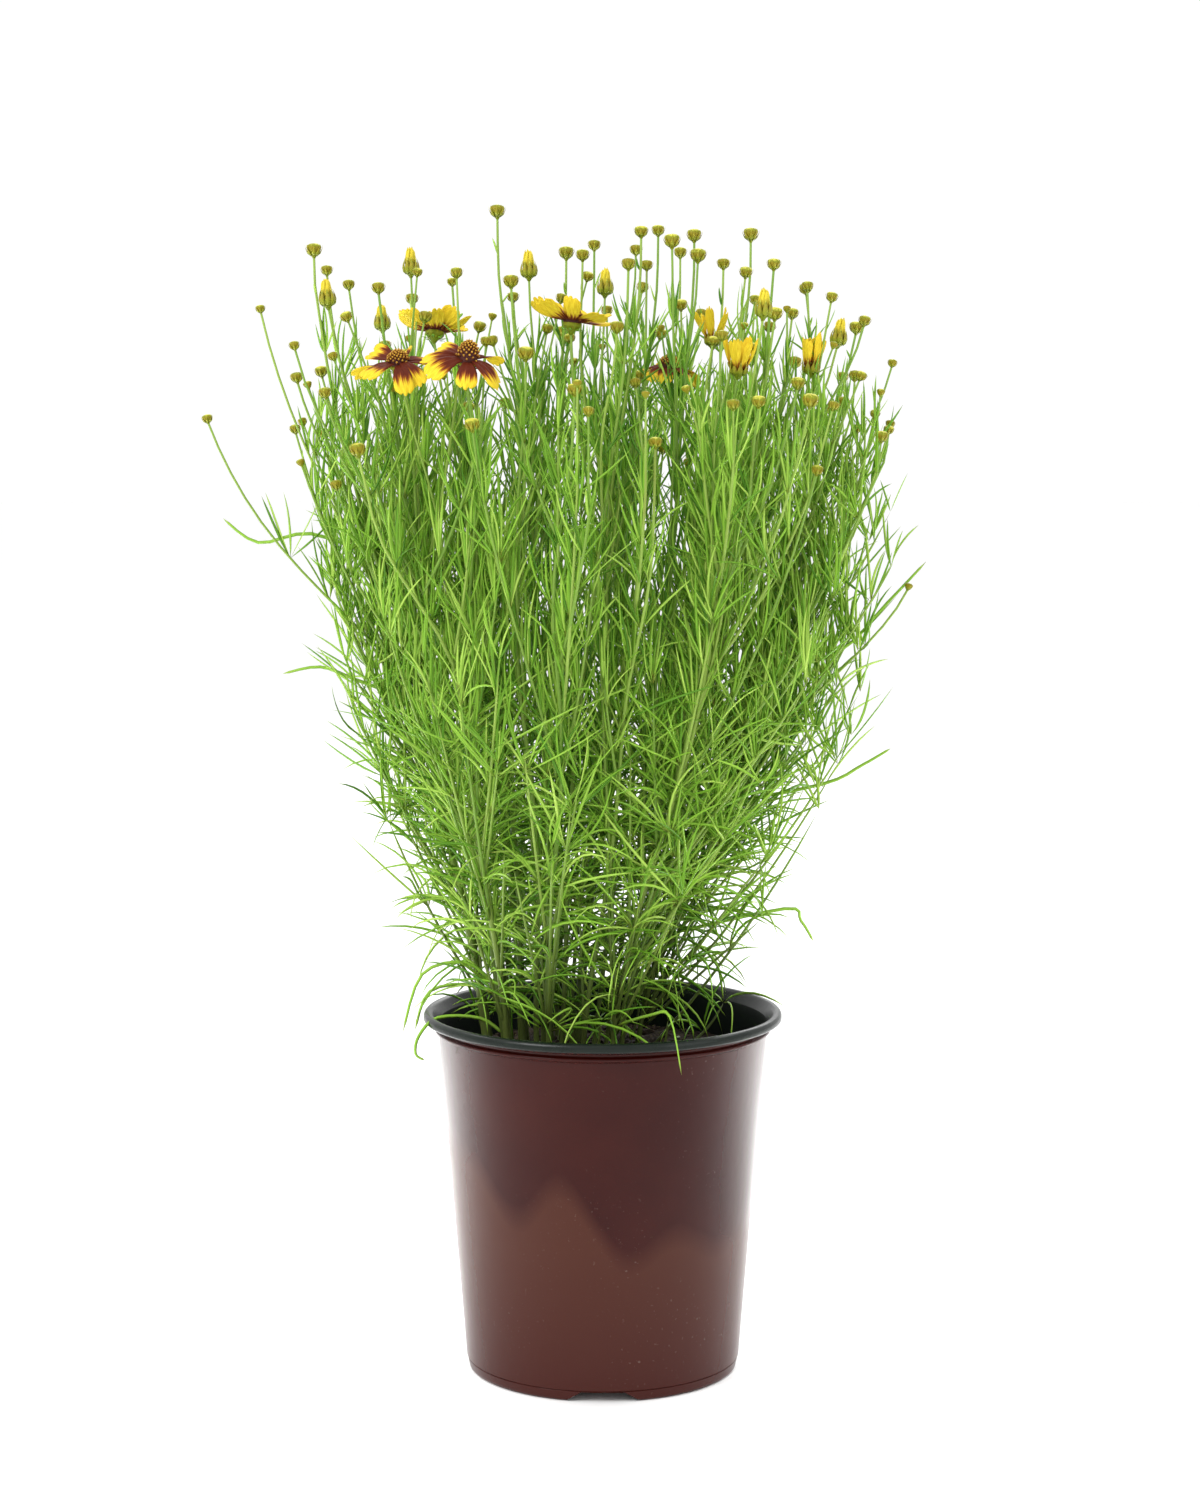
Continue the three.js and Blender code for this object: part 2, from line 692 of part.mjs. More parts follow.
function growLeaf(stem, root, heading, share, leaves) {
  const { random } = stem;
  const steps = share < LEAF.bentBelow ? 2 : 1;
  const rise = mix(LEAF.riseAtSoil, LEAF.riseAtTop, share) + 14 * (random() - 0.5);
  const turn = mix(LEAF.turnAtSoil, LEAF.turnAtTop, share) + 20 * (random() - 0.5);
  const wanted = mix(LEAF.lengthAtSoil, LEAF.lengthAtTop, share) * (0.85 + 0.3 * random());
  for (let attempt = 0; attempt < LEAF.tries; attempt++) {
    const swing = (attempt % 2 === 0 ? 1 : -1) * attempt * 0.16;
    const length = wanted * (1 - 0.07 * attempt);
    const path = leafPath(root, heading + swing, degToRad(rise), degToRad(turn), length, steps);
    if (isClear(stem.index, path, LEAF.radius)) {
      take(stem.index, path, path.map(() => LEAF.radius));
      leaves.push(strand(path, [LEAF.rootRadius, ...path.slice(2).map(() => LEAF.radius), 0], LEAF.sides));
      return;
    }
  }
}

// Opposite leaves, each pair turned across the last; a lobe leaves through a flat side of its stem
function growLeaves(stem) {
  const leaves = [];
  const top = stem.heads[0].place.z - LEAF.topMargin;
  const side = (2 * Math.PI) / STEM.sides;
  const rise = STEM.topHeight - LEAF.lowest;
  const start = LEAF.lowest + LEAF.step * stem.random();
  for (let pair = 0; start + pair * LEAF.step < top; pair++) {
    for (let k = 0; k < STEM.sides; k++) {
      const height = start + pair * LEAF.step + 7 * (k % 2);
      const heading = stem.facing + side * (k + 0.5);
      growLeaf(stem, onStem(stem, height), heading, (height - LEAF.lowest) / rise, leaves);
    }
  }
  stem.branches.forEach(({ path }, b) => {
    const share = (path[1].z - LEAF.lowest) / rise;
    growLeaf(stem, path[1].clone().lerp(path[2], 0.12), b * 2.4 + stem.facing, share, leaves);
    growLeaf(stem, path[1].clone().lerp(path[2], 0.45), b * 2.4 + 2, Math.min(share + 0.15, 1), leaves);
  });
  return leaves;
}

function strayLeaves(stems) {
  STRAY_LEAVES.forEach((points) => {
    const [first, ...rest] = points.map((point) => new THREE.Vector3(...point));
    const start = Math.max(first.z - 12, LEAF.lowest - 14);
    const away = (stem) => onStem(stem, start).distanceTo(first);
    const stem = stems.reduce((best, other) => (away(other) < away(best) ? other : best));
    const path = [onStem(stem, start), first, ...rest];
    take(stem.index, path, [LEAF.radius, LEAF.radius, LEAF.radius, LEAF.radius]);
    stem.solids.push(strand(path, [LEAF.radius, LEAF.radius, LEAF.radius, 0], LEAF.sides));
  });
}

// ---- the whole part ----

function takeRoomOfHead(head, owner) {
  const way = bloomWay(head);
  const end = head.place.clone().addScaledVector(way, head.kind === 'closed' ? 2 * head.radius : 10);
  take(owner, [head.place, end], [head.radius ?? 5, head.radius ?? 5]);
  if (head.kind === 'half') {
    const tip = head.place.clone().addScaledVector(way, 20);
    take(head.name, [head.place, tip], [9, 9]);
  }
  if (head.kind === 'bloom') {
    const middle = head.place.clone().addScaledVector(way, BLOOM.cupHeight);
    const side = new THREE.Vector3(1, 0, 0).cross(way).normalize();
    for (let i = 0; i < 12; i++) {
      const out = side.clone().applyAxisAngle(way, (i * Math.PI) / 6);
      const drop = Math.sin(degToRad(head.droop / 2));
      const tip = middle.clone().addScaledVector(out, head.length).addScaledVector(way, -drop * head.length);
      take(head.name, [middle, tip], [3.5, 3.5]);
    }
  }
}

const model = new THREE.Group();
const stems = makeStems();

stems.forEach((stem) => {
  take(stem.index, stem.path, stem.radii);
  stem.branches.forEach(({ path, radii }) => take(stem.index, path, radii));
  stem.heads.forEach((head) => takeRoomOfHead(head, stem.index));
  const main = withBud(stem.path, stem.radii, stem.heads[0]);
  stem.solids = [strand(main.path, main.radii, STEM.sides, stem.facing)];
  stem.branches.forEach((branch) => {
    const { path, radii } = withBud(branch.path, branch.radii, branch.head);
    stem.solids.push(strand(path, radii, BRANCH.sides, stem.facing));
  });
  stem.heads.filter((head) => head.kind !== 'closed').forEach((head) => stem.solids.push(cupOf(head)));
});
strayLeaves(stems);
stems.forEach((stem) => stem.solids.push(...growLeaves(stem)));

model.add(toMesh('pot', makePot(), COLOUR.pot, 0.3));
model.add(toMesh('soil', makeSoil(stems), COLOUR.soil, 0.95));
stems.forEach((stem) => {
  const name = `leafy_stem_${String(stem.index + 1).padStart(2, '0')}`;
  model.add(toMesh(name, wasm.Manifold.union(stem.solids), COLOUR.leaf));
  stem.heads.forEach((head) => {
    if (head.kind === 'opening') model.add(toMesh(`${head.name}_rays`, openingCone(head), COLOUR.petal));
    if (head.kind === 'half') model.add(toMesh(`${head.name}_rays`, halfOpenRays(head), COLOUR.petal));
    if (head.kind === 'bloom') {
      model.add(toMesh(`${head.name}_rays`, openRays(head), COLOUR.maroonPetal));
      model.add(toMesh(`${head.name}_disc`, floretDisc(head), COLOUR.disc));
    }
  });
});

export default model;
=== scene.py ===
import bmesh
import bpy
import math
import random
from mathutils import Matrix, Quaternion, Vector


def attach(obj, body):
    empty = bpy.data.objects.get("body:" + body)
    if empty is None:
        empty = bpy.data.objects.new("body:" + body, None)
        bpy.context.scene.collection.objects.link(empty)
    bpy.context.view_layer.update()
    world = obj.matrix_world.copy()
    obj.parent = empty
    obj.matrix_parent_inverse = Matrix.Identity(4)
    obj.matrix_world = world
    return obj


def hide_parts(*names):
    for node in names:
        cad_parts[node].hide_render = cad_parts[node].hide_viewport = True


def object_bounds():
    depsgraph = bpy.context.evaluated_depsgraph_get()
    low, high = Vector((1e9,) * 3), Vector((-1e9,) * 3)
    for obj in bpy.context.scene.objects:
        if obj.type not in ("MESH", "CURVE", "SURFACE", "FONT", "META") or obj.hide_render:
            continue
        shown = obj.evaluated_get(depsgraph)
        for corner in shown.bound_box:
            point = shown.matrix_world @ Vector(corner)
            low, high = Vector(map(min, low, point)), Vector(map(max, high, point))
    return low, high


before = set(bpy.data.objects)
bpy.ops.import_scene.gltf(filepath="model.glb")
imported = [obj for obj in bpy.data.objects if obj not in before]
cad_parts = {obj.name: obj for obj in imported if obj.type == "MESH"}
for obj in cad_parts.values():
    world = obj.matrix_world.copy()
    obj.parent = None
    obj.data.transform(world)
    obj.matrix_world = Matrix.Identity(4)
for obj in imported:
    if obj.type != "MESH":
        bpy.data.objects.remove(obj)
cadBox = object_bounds()
scene = bpy.context.scene
up = Vector((0, 0, 1))
print("frame loaded")

# Everything below is worked out in millimetres, and each finished piece is scaled to metres

# The camera's place is in metres, its pitch in degrees, its lens and sensor in millimetres
view = {"place": (-0.00125, -1.4285, 0.4417), "pitch": 6.179, "lens": 75.377, "sensor": 36, "clipEnd": 100}


def makeCamera():
    data = bpy.data.cameras.new("camera")
    data.lens = view["lens"]
    data.sensor_width = view["sensor"]
    data.clip_end = view["clipEnd"]
    camera = bpy.data.objects.new("camera", data)
    camera.location = view["place"]
    camera.rotation_euler = (math.radians(90 - view["pitch"]), 0, 0)
    scene.collection.objects.link(camera)
    scene.camera = camera


studio = {
    "world": 1.03,
    "lights": [  # name, place, aim, size, power, spread
        ("keyLight", (-1.6, -1.4, 1.9), (0, 0, 0.28), 1.1, 38, 180),
        ("fillLight", (1.9, -1.3, 1.1), (0, 0, 0.28), 1.5, 9, 180),
        ("backLight", (0.4, 2.0, 1.6), (0, 0, 0.28), 1.4, 18, 180),
        ("sweepLeft", (-0.6, 0.3, 0.6), (-0.52, 0.25, 0), 0.5, 4, 80),
        ("sweepRight", (0.6, 0.3, 0.6), (0.52, 0.25, 0), 0.5, 4, 80),
    ],
    "floorColour": (0.985, 0.985, 0.98),
    "floorShade": 0.99,
    "floorRadius": 14,
    "floorSides": 96,
}


def makeStudio():
    world = bpy.data.worlds.new("studio")
    world.use_nodes = True
    background = world.node_tree.nodes["Background"]
    background.inputs["Color"].default_value = (1, 1, 1, 1)
    background.inputs["Strength"].default_value = studio["world"]
    scene.world = world
    scene.view_settings.view_transform = "Standard"
    for name, place, aim, size, power, spread in studio["lights"]:
        data = bpy.data.lights.new(name, "AREA")
        data.size = size
        data.energy = power
        data.spread = math.radians(spread)
        lamp = bpy.data.objects.new(name, data)
        lamp.location = place
        lamp.rotation_euler = (Vector(aim) - Vector(place)).to_track_quat("-Z", "Y").to_euler()
        lamp.visible_camera = False
        scene.collection.objects.link(lamp)
    bm = bmesh.new()
    bmesh.ops.create_circle(bm, cap_ends=True, segments=studio["floorSides"], radius=studio["floorRadius"])
    floor = makeObject("floor", bm, [floorMaterial()])


def makeObject(name, bm, materials):
    mesh = bpy.data.meshes.new(name)
    bm.to_mesh(mesh)
    bm.free()
    for material in materials:
        mesh.materials.append(material)
    made = bpy.data.objects.new(name, mesh)
    scene.collection.objects.link(made)
    return made


def finishPiece(name, bm, materials, node):
    bmesh.ops.scale(bm, vec=(0.001, 0.001, 0.001), verts=bm.verts)
    piece = makeObject(name, bm, materials)
    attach(piece, "root")
    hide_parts(node)


def newMaterial(name, roughness, specular=0.5):
    material = bpy.data.materials.new(name)
    material.use_nodes = True
    shader = material.node_tree.nodes["Principled BSDF"]
    shader.inputs["Roughness"].default_value = roughness
    shader.inputs["Specular IOR Level"].default_value = specular
    return material, material.node_tree, shader


def addNode(tree, kind, settings=None, **inputs):
    made = tree.nodes.new(kind)
    for key, value in (settings or {}).items():
        setattr(made, key, value)
    for key, value in inputs.items():
        socket = made.inputs[int(key[1:])] if key[0] == "i" and key[1:].isdigit() else made.inputs[key]
        if isinstance(value, bpy.types.NodeSocket):
            tree.links.new(value, socket)
        else:
            socket.default_value = value
    return made


def objectNoise(tree, scale, detail=3.0, stretch=(1, 1, 1)):
    place = addNode(tree, "ShaderNodeTexCoord").outputs["Object"]
    mapped = addNode(tree, "ShaderNodeMapping", Vector=place, Scale=stretch).outputs[0]
    return addNode(tree, "ShaderNodeTexNoise", Vector=mapped, Scale=scale, Detail=detail).outputs["Fac"]


def ownValue(tree, name):
    return addNode(tree, "ShaderNodeAttribute", {"attribute_name": name}).outputs["Fac"]


def ramp(tree, fac, stops):
    made = addNode(tree, "ShaderNodeValToRGB", Fac=fac)
    points = made.color_ramp.elements
    while len(points) < len(stops):
        points.new(0.5)
    for point, (place, colour) in zip(points, stops):
        point.position = place
        point.color = (*colour, 1)
    return made.outputs["Color"]


def steps(tree, fac, low, high):
    made = addNode(tree, "ShaderNodeMapRange", {"clamp": True}, Value=fac)
    made.inputs["From Min"].default_value = low
    made.inputs["From Max"].default_value = high
    return made.outputs["Result"]


def math2(tree, operation, a, b):
    return addNode(tree, "ShaderNodeMath", {"operation": operation}, i0=a, i1=b).outputs[0]


def times(tree, value, factor):
    return math2(tree, "MULTIPLY", value, factor)


def plus(tree, value, other):
    return math2(tree, "ADD", value, other)


def objectHeight(tree):
    place = addNode(tree, "ShaderNodeTexCoord").outputs["Object"]
    return addNode(tree, "ShaderNodeSeparateXYZ", i0=place).outputs[2]


def mixed(tree, fac, a, b):
    made = addNode(tree, "ShaderNodeMix", {"data_type": "RGBA"})
    for number, value in ((0, fac), (6, a), (7, b)):
        socket = made.inputs[number]
        if isinstance(value, bpy.types.NodeSocket):
            tree.links.new(value, socket)
        elif isinstance(value, tuple):
            socket.default_value = (*value, 1)
        else:
            socket.default_value = value
    return made.outputs[2]


def paint(tree, shader, colour):
    tree.links.new(colour, shader.inputs["Base Color"])


def bump(tree, shader, height, strength, distance):
    made = addNode(tree, "ShaderNodeBump", Height=height, Strength=strength, Distance=distance)
    tree.links.new(made.outputs[0], shader.inputs["Normal"])


# The numbers in a material are its roughness and gloss, then the scale of each pattern and where it fades
def floorMaterial():
    material, tree, shader = newMaterial("paleFloor", 0.7, 0.2)
    low = tuple(studio["floorShade"] * part for part in studio["floorColour"])
    paint(tree, shader, mixed(tree, objectNoise(tree, 2.0, 2), low, studio["floorColour"]))
    return material


foliage = {
    "leafDark": (0.074, 0.215, 0.014),
    "leafMid": (0.24, 0.475, 0.037),
    "leafLight": (0.48, 0.70, 0.12),
    "leafTip": (0.40, 0.45, 0.08),
    "stalkGreen": (0.13, 0.27, 0.028),
    "stalkLight": (0.34, 0.47, 0.085),
    "stalkRed": (0.15, 0.07, 0.02),
    "stalkFoot": (0.052, 0.062, 0.016),
    "nodeRed": (0.26, 0.12, 0.02),
    "budBase": (0.115, 0.20, 0.010),
    "budOlive": (0.20, 0.235, 0.008),
    "budBrown": (0.26, 0.20, 0.008),
    "budPale": (0.60, 0.58, 0.07),
    "footHigh": 0.245,  # stalks get brown from here down, in metres
    "footLow": 0.165,
}


def leafMaterial():
    material, tree, shader = newMaterial("leafGreen", 0.42, 0.2)
    tone = plus(tree, ownValue(tree, "tone"), times(tree, objectNoise(tree, 26, 2), 0.5))
    body = ramp(tree, times(tree, tone, 0.8), [
        (0.16, foliage["leafDark"]), (0.53, foliage["leafMid"]), (0.92, foliage["leafLight"]),
    ])
    along = ownValue(tree, "along")
    aged = mixed(tree, times(tree, steps(tree, along, 0.86, 1.02), 0.7), body, foliage["leafTip"])
    patches = steps(tree, objectNoise(tree, 31, 2), 0.5, 0.62)
    flush = times(tree, steps(tree, along, 0.16, 0.0), patches)
    flushed = mixed(tree, times(tree, flush, 0.8), aged, foliage["nodeRed"])
    streaks = objectNoise(tree, 900, 2, (1, 1, 0.08))
    paint(tree, shader, mixed(tree, times(tree, streaks, 0.25), flushed, foliage["leafDark"]))
    bump(tree, shader, streaks, 0.35, 0.0003)
    return material


def stalkMaterial():
    material, tree, shader = newMaterial("stalkGreen", 0.4, 0.28)
    body = mixed(tree, ownValue(tree, "tone"), foliage["stalkGreen"], foliage["stalkLight"])
    streaks = objectNoise(tree, 420, 3, (1, 1, 0.06))
    patches = steps(tree, objectNoise(tree, 17, 3), 0.62, 0.8)
    flushed = mixed(tree, times(tree, patches, streaks), body, foliage["stalkRed"])
    foot = steps(tree, objectHeight(tree), foliage["footHigh"], foliage["footLow"])
    paint(tree, shader, mixed(tree, times(tree, foot, 0.85), flushed, foliage["stalkFoot"]))
    bump(tree, shader, streaks, 0.4, 0.0004)
    return material


def budMaterial():
    material, tree, shader = newMaterial("budOlive", 0.5, 0.22)
    along = ownValue(tree, "along")
    speckle = objectNoise(tree, 700, 4)
    body = ramp(tree, plus(tree, along, times(tree, math2(tree, "SUBTRACT", speckle, 0.35), 0.7)), [
        (0.0, foliage["budBase"]),
        (0.42, foliage["budOlive"]),
        (0.7, foliage["budBrown"]),
        (0.86, foliage["budOlive"]),
        (1.0, foliage["budPale"]),
    ])
    edges = steps(tree, ownValue(tree, "tone"), 0.55, 1.0)
    paint(tree, shader, mixed(tree, times(tree, edges, 0.6), body, foliage["budPale"]))
    bump(tree, shader, speckle, 0.5, 0.0004)
    return material


# The skeleton follows the same rule and the same draws as the solids
soil = {"top": 145, "crown": 3, "radius": 72}
stemRule = {
    "count": 22, "seed": 101, "seedStep": 37, "reach": 0.93,
    "spreadAtSoil": 39, "spreadAtTop": 142, "topHeight": 500,
    "offsetAtSoil": -20, "offset": -12, "upright": 320,
    "radiusAtSoil": 2.1, "radiusAtTop": 0.65, "thinnest": 0.5, "usual": 0.85, "stout": 1.4, "evenAbove": 260,
    "forkFrom": 300, "forkRange": 40, "neck": 25, "rooted": 7, "step": 13,
    "sway": 2.6, "swayHeight": 300, "bow": 4,
    "spareFrom": 440, "spareRange": 50, "spareBud": 2.6,
}
branchRule = {
    "shortest": 90, "longest": 165, "lowest": 185, "points": 11, "swing": 5,
    "ofStem": 0.62, "atLeast": 0.72, "atTip": 0.52, "inHead": 0.5,
}
cupRadius = {"opening": 3.4, "half": 3.6, "bloom": 4.6}
goldenTurn = math.pi * (3 - math.sqrt(5))

closedBuds = [  # x, y, z, radius
    (-48, 20, 529, 3.3), (-129, -10, 510, 3.3), (-128, 45, 504, 2.6), (-119, 60, 498, 2.6),
    (-99, -28, 493, 2.8), (-89, 52, 491, 2.8), (-71, 70, 500, 2.2), (-153, -10, 485, 2.0),
    (-135, -40, 468, 2.2), (-17, 55, 512, 3.3), (-9, -15, 508, 2.8), (-4, 95, 518, 2.8),
    (-40, -45, 495, 3.1), (-41, 25, 491, 2.6), (17, -20, 518, 2.8), (26, 60, 523, 2.8),
    (30, -50, 512, 3.3), (41, -4, 517, 3.1), (16, 100, 516, 2.8), (11, -60, 502, 2.8),
    (20, 15, 505, 2.6), (37, 85, 514, 2.8), (42, -25, 507, 3.3), (67, 10, 518, 3.3),
    (57, 70, 508, 2.8), (75, -35, 503, 2.8), (73, 90, 492, 2.6), (75, -45, 481, 3.1),
    (88, 45, 484, 2.8), (117, 35, 477, 3.1), (116, -20, 479, 2.6), (130, -5, 461, 2.0),
    (-129, 25, 457, 2.8), (-136, -20, 454, 2.6), (-120, -60, 447, 2.6), (-176, -20, 436, 2.2),
    (-141, 22, 431, 2.4), (-105, -75, 422, 3.3), (-117, -42, 407, 2.4), (-33, -78, 463, 3.3),
    (-12, -95, 448, 2.8), (6, -62, 475, 2.8), (-55, -97, 433, 3.1), (22, -103, 426, 2.6),
    (84, -64, 451, 2.8), (88, -84, 443, 3.3), (66, -88, 443, 2.8), (110, 20, 443, 2.8),
    (112, 52, 455, 2.6), (128, -12, 431, 2.2), (92, -72, 414, 2.4), (139, 4, 360, 1.9),
    (-104, 88, 470, 2.8), (-66, 112, 462, 3.1), (-20, 122, 478, 2.6), (48, 118, 486, 2.8),
    (92, 92, 462, 3.1), (108, 74, 440, 2.6), (2, 60, 486, 2.6),
]
openingBuds = [
    (-122, -20, 487), (-102, 40, 478), (-88, 28, 503), (-33, -10, 500), (1, 35, 494),
    (105, -10, 470), (69, -62, 481),
]
halfOpen = [
    {"at": (50, 14, 470), "petals": 7, "flare": 16, "width": 4.2},
    {"at": (59, -45, 456), "petals": 7, "flare": 12, "width": 5.6},
    {"at": (92, -25, 457), "petals": 6, "flare": 5, "width": 4.8},
]
openBlooms = [
    {"at": (-88, -58, 458), "lean": (-0.1, -0.34), "droop": 32, "petals": 8, "length": 23},
    {"at": (-58, -84, 459), "lean": (0.16, -0.42), "droop": 50, "petals": 8, "length": 21},
    {"at": (-76, -2, 473), "lean": (0.1, 0.3), "droop": -34, "petals": 8, "length": 20},
    {"at": (-14, -36, 476), "lean": (0.12, 0.04), "droop": -30, "petals": 8, "length": 21},
    {"at": (30, 28, 457), "lean": (0.1, -0.2), "droop": 66, "petals": 8, "length": 18},
]
strayLeaves = [  # root on the nearest stem, then the way and the tip
    ((21, -62, 176), (29, -86, 180), (34, -95, 156)),
    ((-62, -20, 192), (-82, -22, 187), (-91, -22, 160)),
    ((-60, 8, 176), (-80, 6, 174), (-87, 4, 156)),
    ((-132, -4, 386), (-156, -4, 382), (-172, -4, 393)),
    ((-112, -8, 320), (-128, -10, 326), (-145, -12, 323)),
    ((108, 4, 332), (130, 6, 354), (148, 8, 373)),
    ((100, -6, 272), (118, -8, 281), (131, -10, 289)),
    ((84, 10, 212), (92, 12, 206), (98, 14, 196)),
    ((-56, -18, 166), (-75, -22, 167), (-83.5, -24, 159), (-85, -25, 151), (-81, -25, 148)),
]


# The same plain generator as in the solids' source, so that both make the same plant
def seededDraws(seed):
    state = [seed]
    factor, added, size = 1664525, 1013904223, 2 ** 32

    def draw():
        state[0] = (state[0] * factor + added) % size
        return state[0] / size

    return draw


def clamp(value, low=0.0, high=1.0):
    return min(max(value, low), high)


def mix(a, b, share):
    return a + (b - a) * share


def ease(share):
    return share * share * (3 - 2 * share)


def soilHeight(radius):
    return soil["top"] + soil["crown"] * (1 - (radius / soil["radius"]) ** 2)


def spread(height):
    share = clamp((height - soil["top"]) / (stemRule["topHeight"] - soil["top"]))
    return mix(stemRule["spreadAtSoil"], stemRule["spreadAtTop"], 0.4 * ease(share) + 0.6 * share)


def clumpMiddle(height):
    share = clamp((height - soil["top"]) / (stemRule["upright"] - soil["top"]))
    return mix(stemRule["offsetAtSoil"], stemRule["offset"], ease(share))


def seatToPlace(seat, height):
    radius = spread(height)
    return Vector((seat.x * radius + clumpMiddle(height), seat.y * radius, height))


def fromMiddle(place):
    return math.hypot(place.x - clumpMiddle(place.z), place.y)


def allHeads():
    heads = [{"kind": "closed", "place": Vector((x, y, z)), "radius": radius} for x, y, z, radius in closedBuds]
    others = {"opening": [{"at": at} for at in openingBuds], "half": halfOpen, "bloom": openBlooms}
    for kind, ones in others.items():
        for i, one in enumerate(ones):
            place = Vector(one["at"])
            heads.append({"kind": kind, "place": place, "number": i + 1, "radius": cupRadius[kind], **one})
    return heads


def makeStems():
    stems = []
    for i in range(stemRule["count"]):
        draw = seededDraws(stemRule["seed"] + stemRule["seedStep"] * i)
        draw()  # the solids turn a stem's leaves by the first draw
        turn = i * goldenTurn
        out = stemRule["reach"] * math.sqrt((i + 0.5) / stemRule["count"])
        seat = Vector((out * math.cos(turn), out * math.sin(turn)))
        stems.append({"index": i, "seat": seat, "heads": [], "draw": draw})
    for head in allHeads():
        middle = Vector((clumpMiddle(head["place"].z), 0))
        head["seat"] = (head["place"].xy - middle) / spread(head["place"].z)
        nearest = min(stems, key=lambda stem: (stem["seat"] - head["seat"]).length)
        nearest["heads"].append(head)
    for stem in stems:
        growStem(stem)
    return stems


def growStem(stem):
    draw, seat = stem["draw"], stem["seat"]
    if not stem["heads"]:
        place = seatToPlace(seat, stemRule["spareFrom"] + stemRule["spareRange"] * draw())
        stem["heads"].append({"kind": "closed", "radius": stemRule["spareBud"], "seat": seat, "place": place})
    stem["heads"].sort(key=lambda head: -head["place"].z)
    leader = stem["heads"][0]
    fork = stemRule["forkFrom"] + stemRule["forkRange"] * draw()
    phase = 2 * math.pi * draw()
    bend = leader["place"].z - stemRule["neck"] - fork

    def seatAt(height):
        return seat.lerp(leader["seat"], ease(clamp((height - fork) / bend)))

    def sway(height):
        free = math.sin(math.pi * clamp((height - soil["top"]) / stemRule["swayHeight"]))
        turn = Vector((math.sin(height / 37 + phase), math.cos(height / 41 + phase), 0))
        return turn * stemRule["sway"] * free

    def placeAt(height):
        return seatToPlace(seatAt(height), height) + sway(height)

    def radiusAt(height):
        share = clamp((height - soil["top"]) / (leader["place"].z - soil["top"]))
        return mix(stemRule["radiusAtSoil"], stemRule["radiusAtTop"], math.sqrt(share))

    def bow(height):
        share = clamp((height - fork) / (leader["place"].z - fork))
        way = Vector((math.sin(7 * phase), math.cos(5 * phase), 0))
        return way * stemRule["bow"] * math.sin(math.pi * share) ** 2

    foot = placeAt(soil["top"])
    ground = soilHeight(foot.xy.length)
    top = leader["place"].z
    path = [Vector((foot.x, foot.y, ground - stemRule["rooted"])), Vector((foot.x, foot.y, ground - 1))]
    count = round((top - ground) / stemRule["step"])
    for k in range(count):
        height = mix(ground + 4, top, k / count)
        path.append(placeAt(height) + bow(height))
    path.append(leader["place"])
    path.append(leader["place"] + up)
    stem["radiusAt"] = radiusAt
    stem["placeAt"] = placeAt
    rank = stem["index"] * 7 % 11  # a few stout stems stand among thinner ones
    thick = stemRule["stout"] if rank > 8 else mix(stemRule["thinnest"], stemRule["usual"], rank / 8)
    radii = []
    for point in path:
        even = clamp((point.z - ground) / stemRule["evenAbove"])
        radii.append(radiusAt(point.z) * mix(thick, stemRule["usual"], even))
    stem["axes"] = [{"kind": "stem", "path": path, "radii": radii}]
    leader["way"] = (path[-2] - path[-3]).normalized().lerp(up, 0.6).normalized()
    for head in stem["heads"][1:]:
        growBranch(stem, head, seatAt, sway)


def growBranch(stem, head, seatAt, sway):
    length = mix(branchRule["shortest"], branchRule["longest"], stem["draw"]())
    start = max(head["place"].z - length, branchRule["lowest"])
    fromSeat = seatAt(start)
    swing = Vector((math.sin(start * 1.7), math.cos(start * 2.3), 0)) * branchRule["swing"]
    thick = max(stem["radiusAt"](start) * branchRule["ofStem"], branchRule["atLeast"])
    count = branchRule["points"]
    path, radii = [], []
    for k in range(count + 1):
        share = k / count
        height = mix(start, head["place"].z, share)
        seat = fromSeat.lerp(head["seat"], math.sin(share * math.pi / 2))
        bow = swing * math.sin(math.pi * share) ** 2
        path.append(seatToPlace(seat, height) + sway(start) * (1 - share) + bow)
        radii.append(mix(thick, branchRule["atTip"], share ** 0.6))
    path[-1] = head["place"].copy()
    head["way"] = (path[-1] - path[-3]).normalized().lerp(up, 0.5).normalized()
    path.append(head["place"] + head["way"])
    radii.append(branchRule["inHead"])
    stem["axes"].append({"kind": "branch", "path": path, "radii": radii})


# Everything long and thin is a strand: a ring of corners drawn along its own path
def ringFrames(path, hint):
    frames = []
    side = hint
    for i, point in enumerate(path):
        ahead, behind = path[min(i + 1, len(path) - 1)], path[max(i - 1, 0)]
        way = (ahead - behind).normalized()
        if side is None:
            side = way.cross(Vector((0.31, 0.17, 0.93)) if abs(way.z) < 0.9 else Vector((1, 0.2, 0)))
        side = (side - way * side.dot(way)).normalized()
        frames.append((point, side, way.cross(side)))
    return frames


def strand(path, radii, material, tone=0.5, sides=4, flat=1.0, facing=0.0, flute=0.0, twist=0.0,
           along=None, hint=None):
    count = len(path)
    return {
        "frames": ringFrames(path, hint), "radii": radii, "material": material, "tone": tone,
        "sides": sides, "flat": flat, "facing": facing, "flute": flute, "twist": twist,
        "along": along or [k / (count - 1) for k in range(count)],
    }


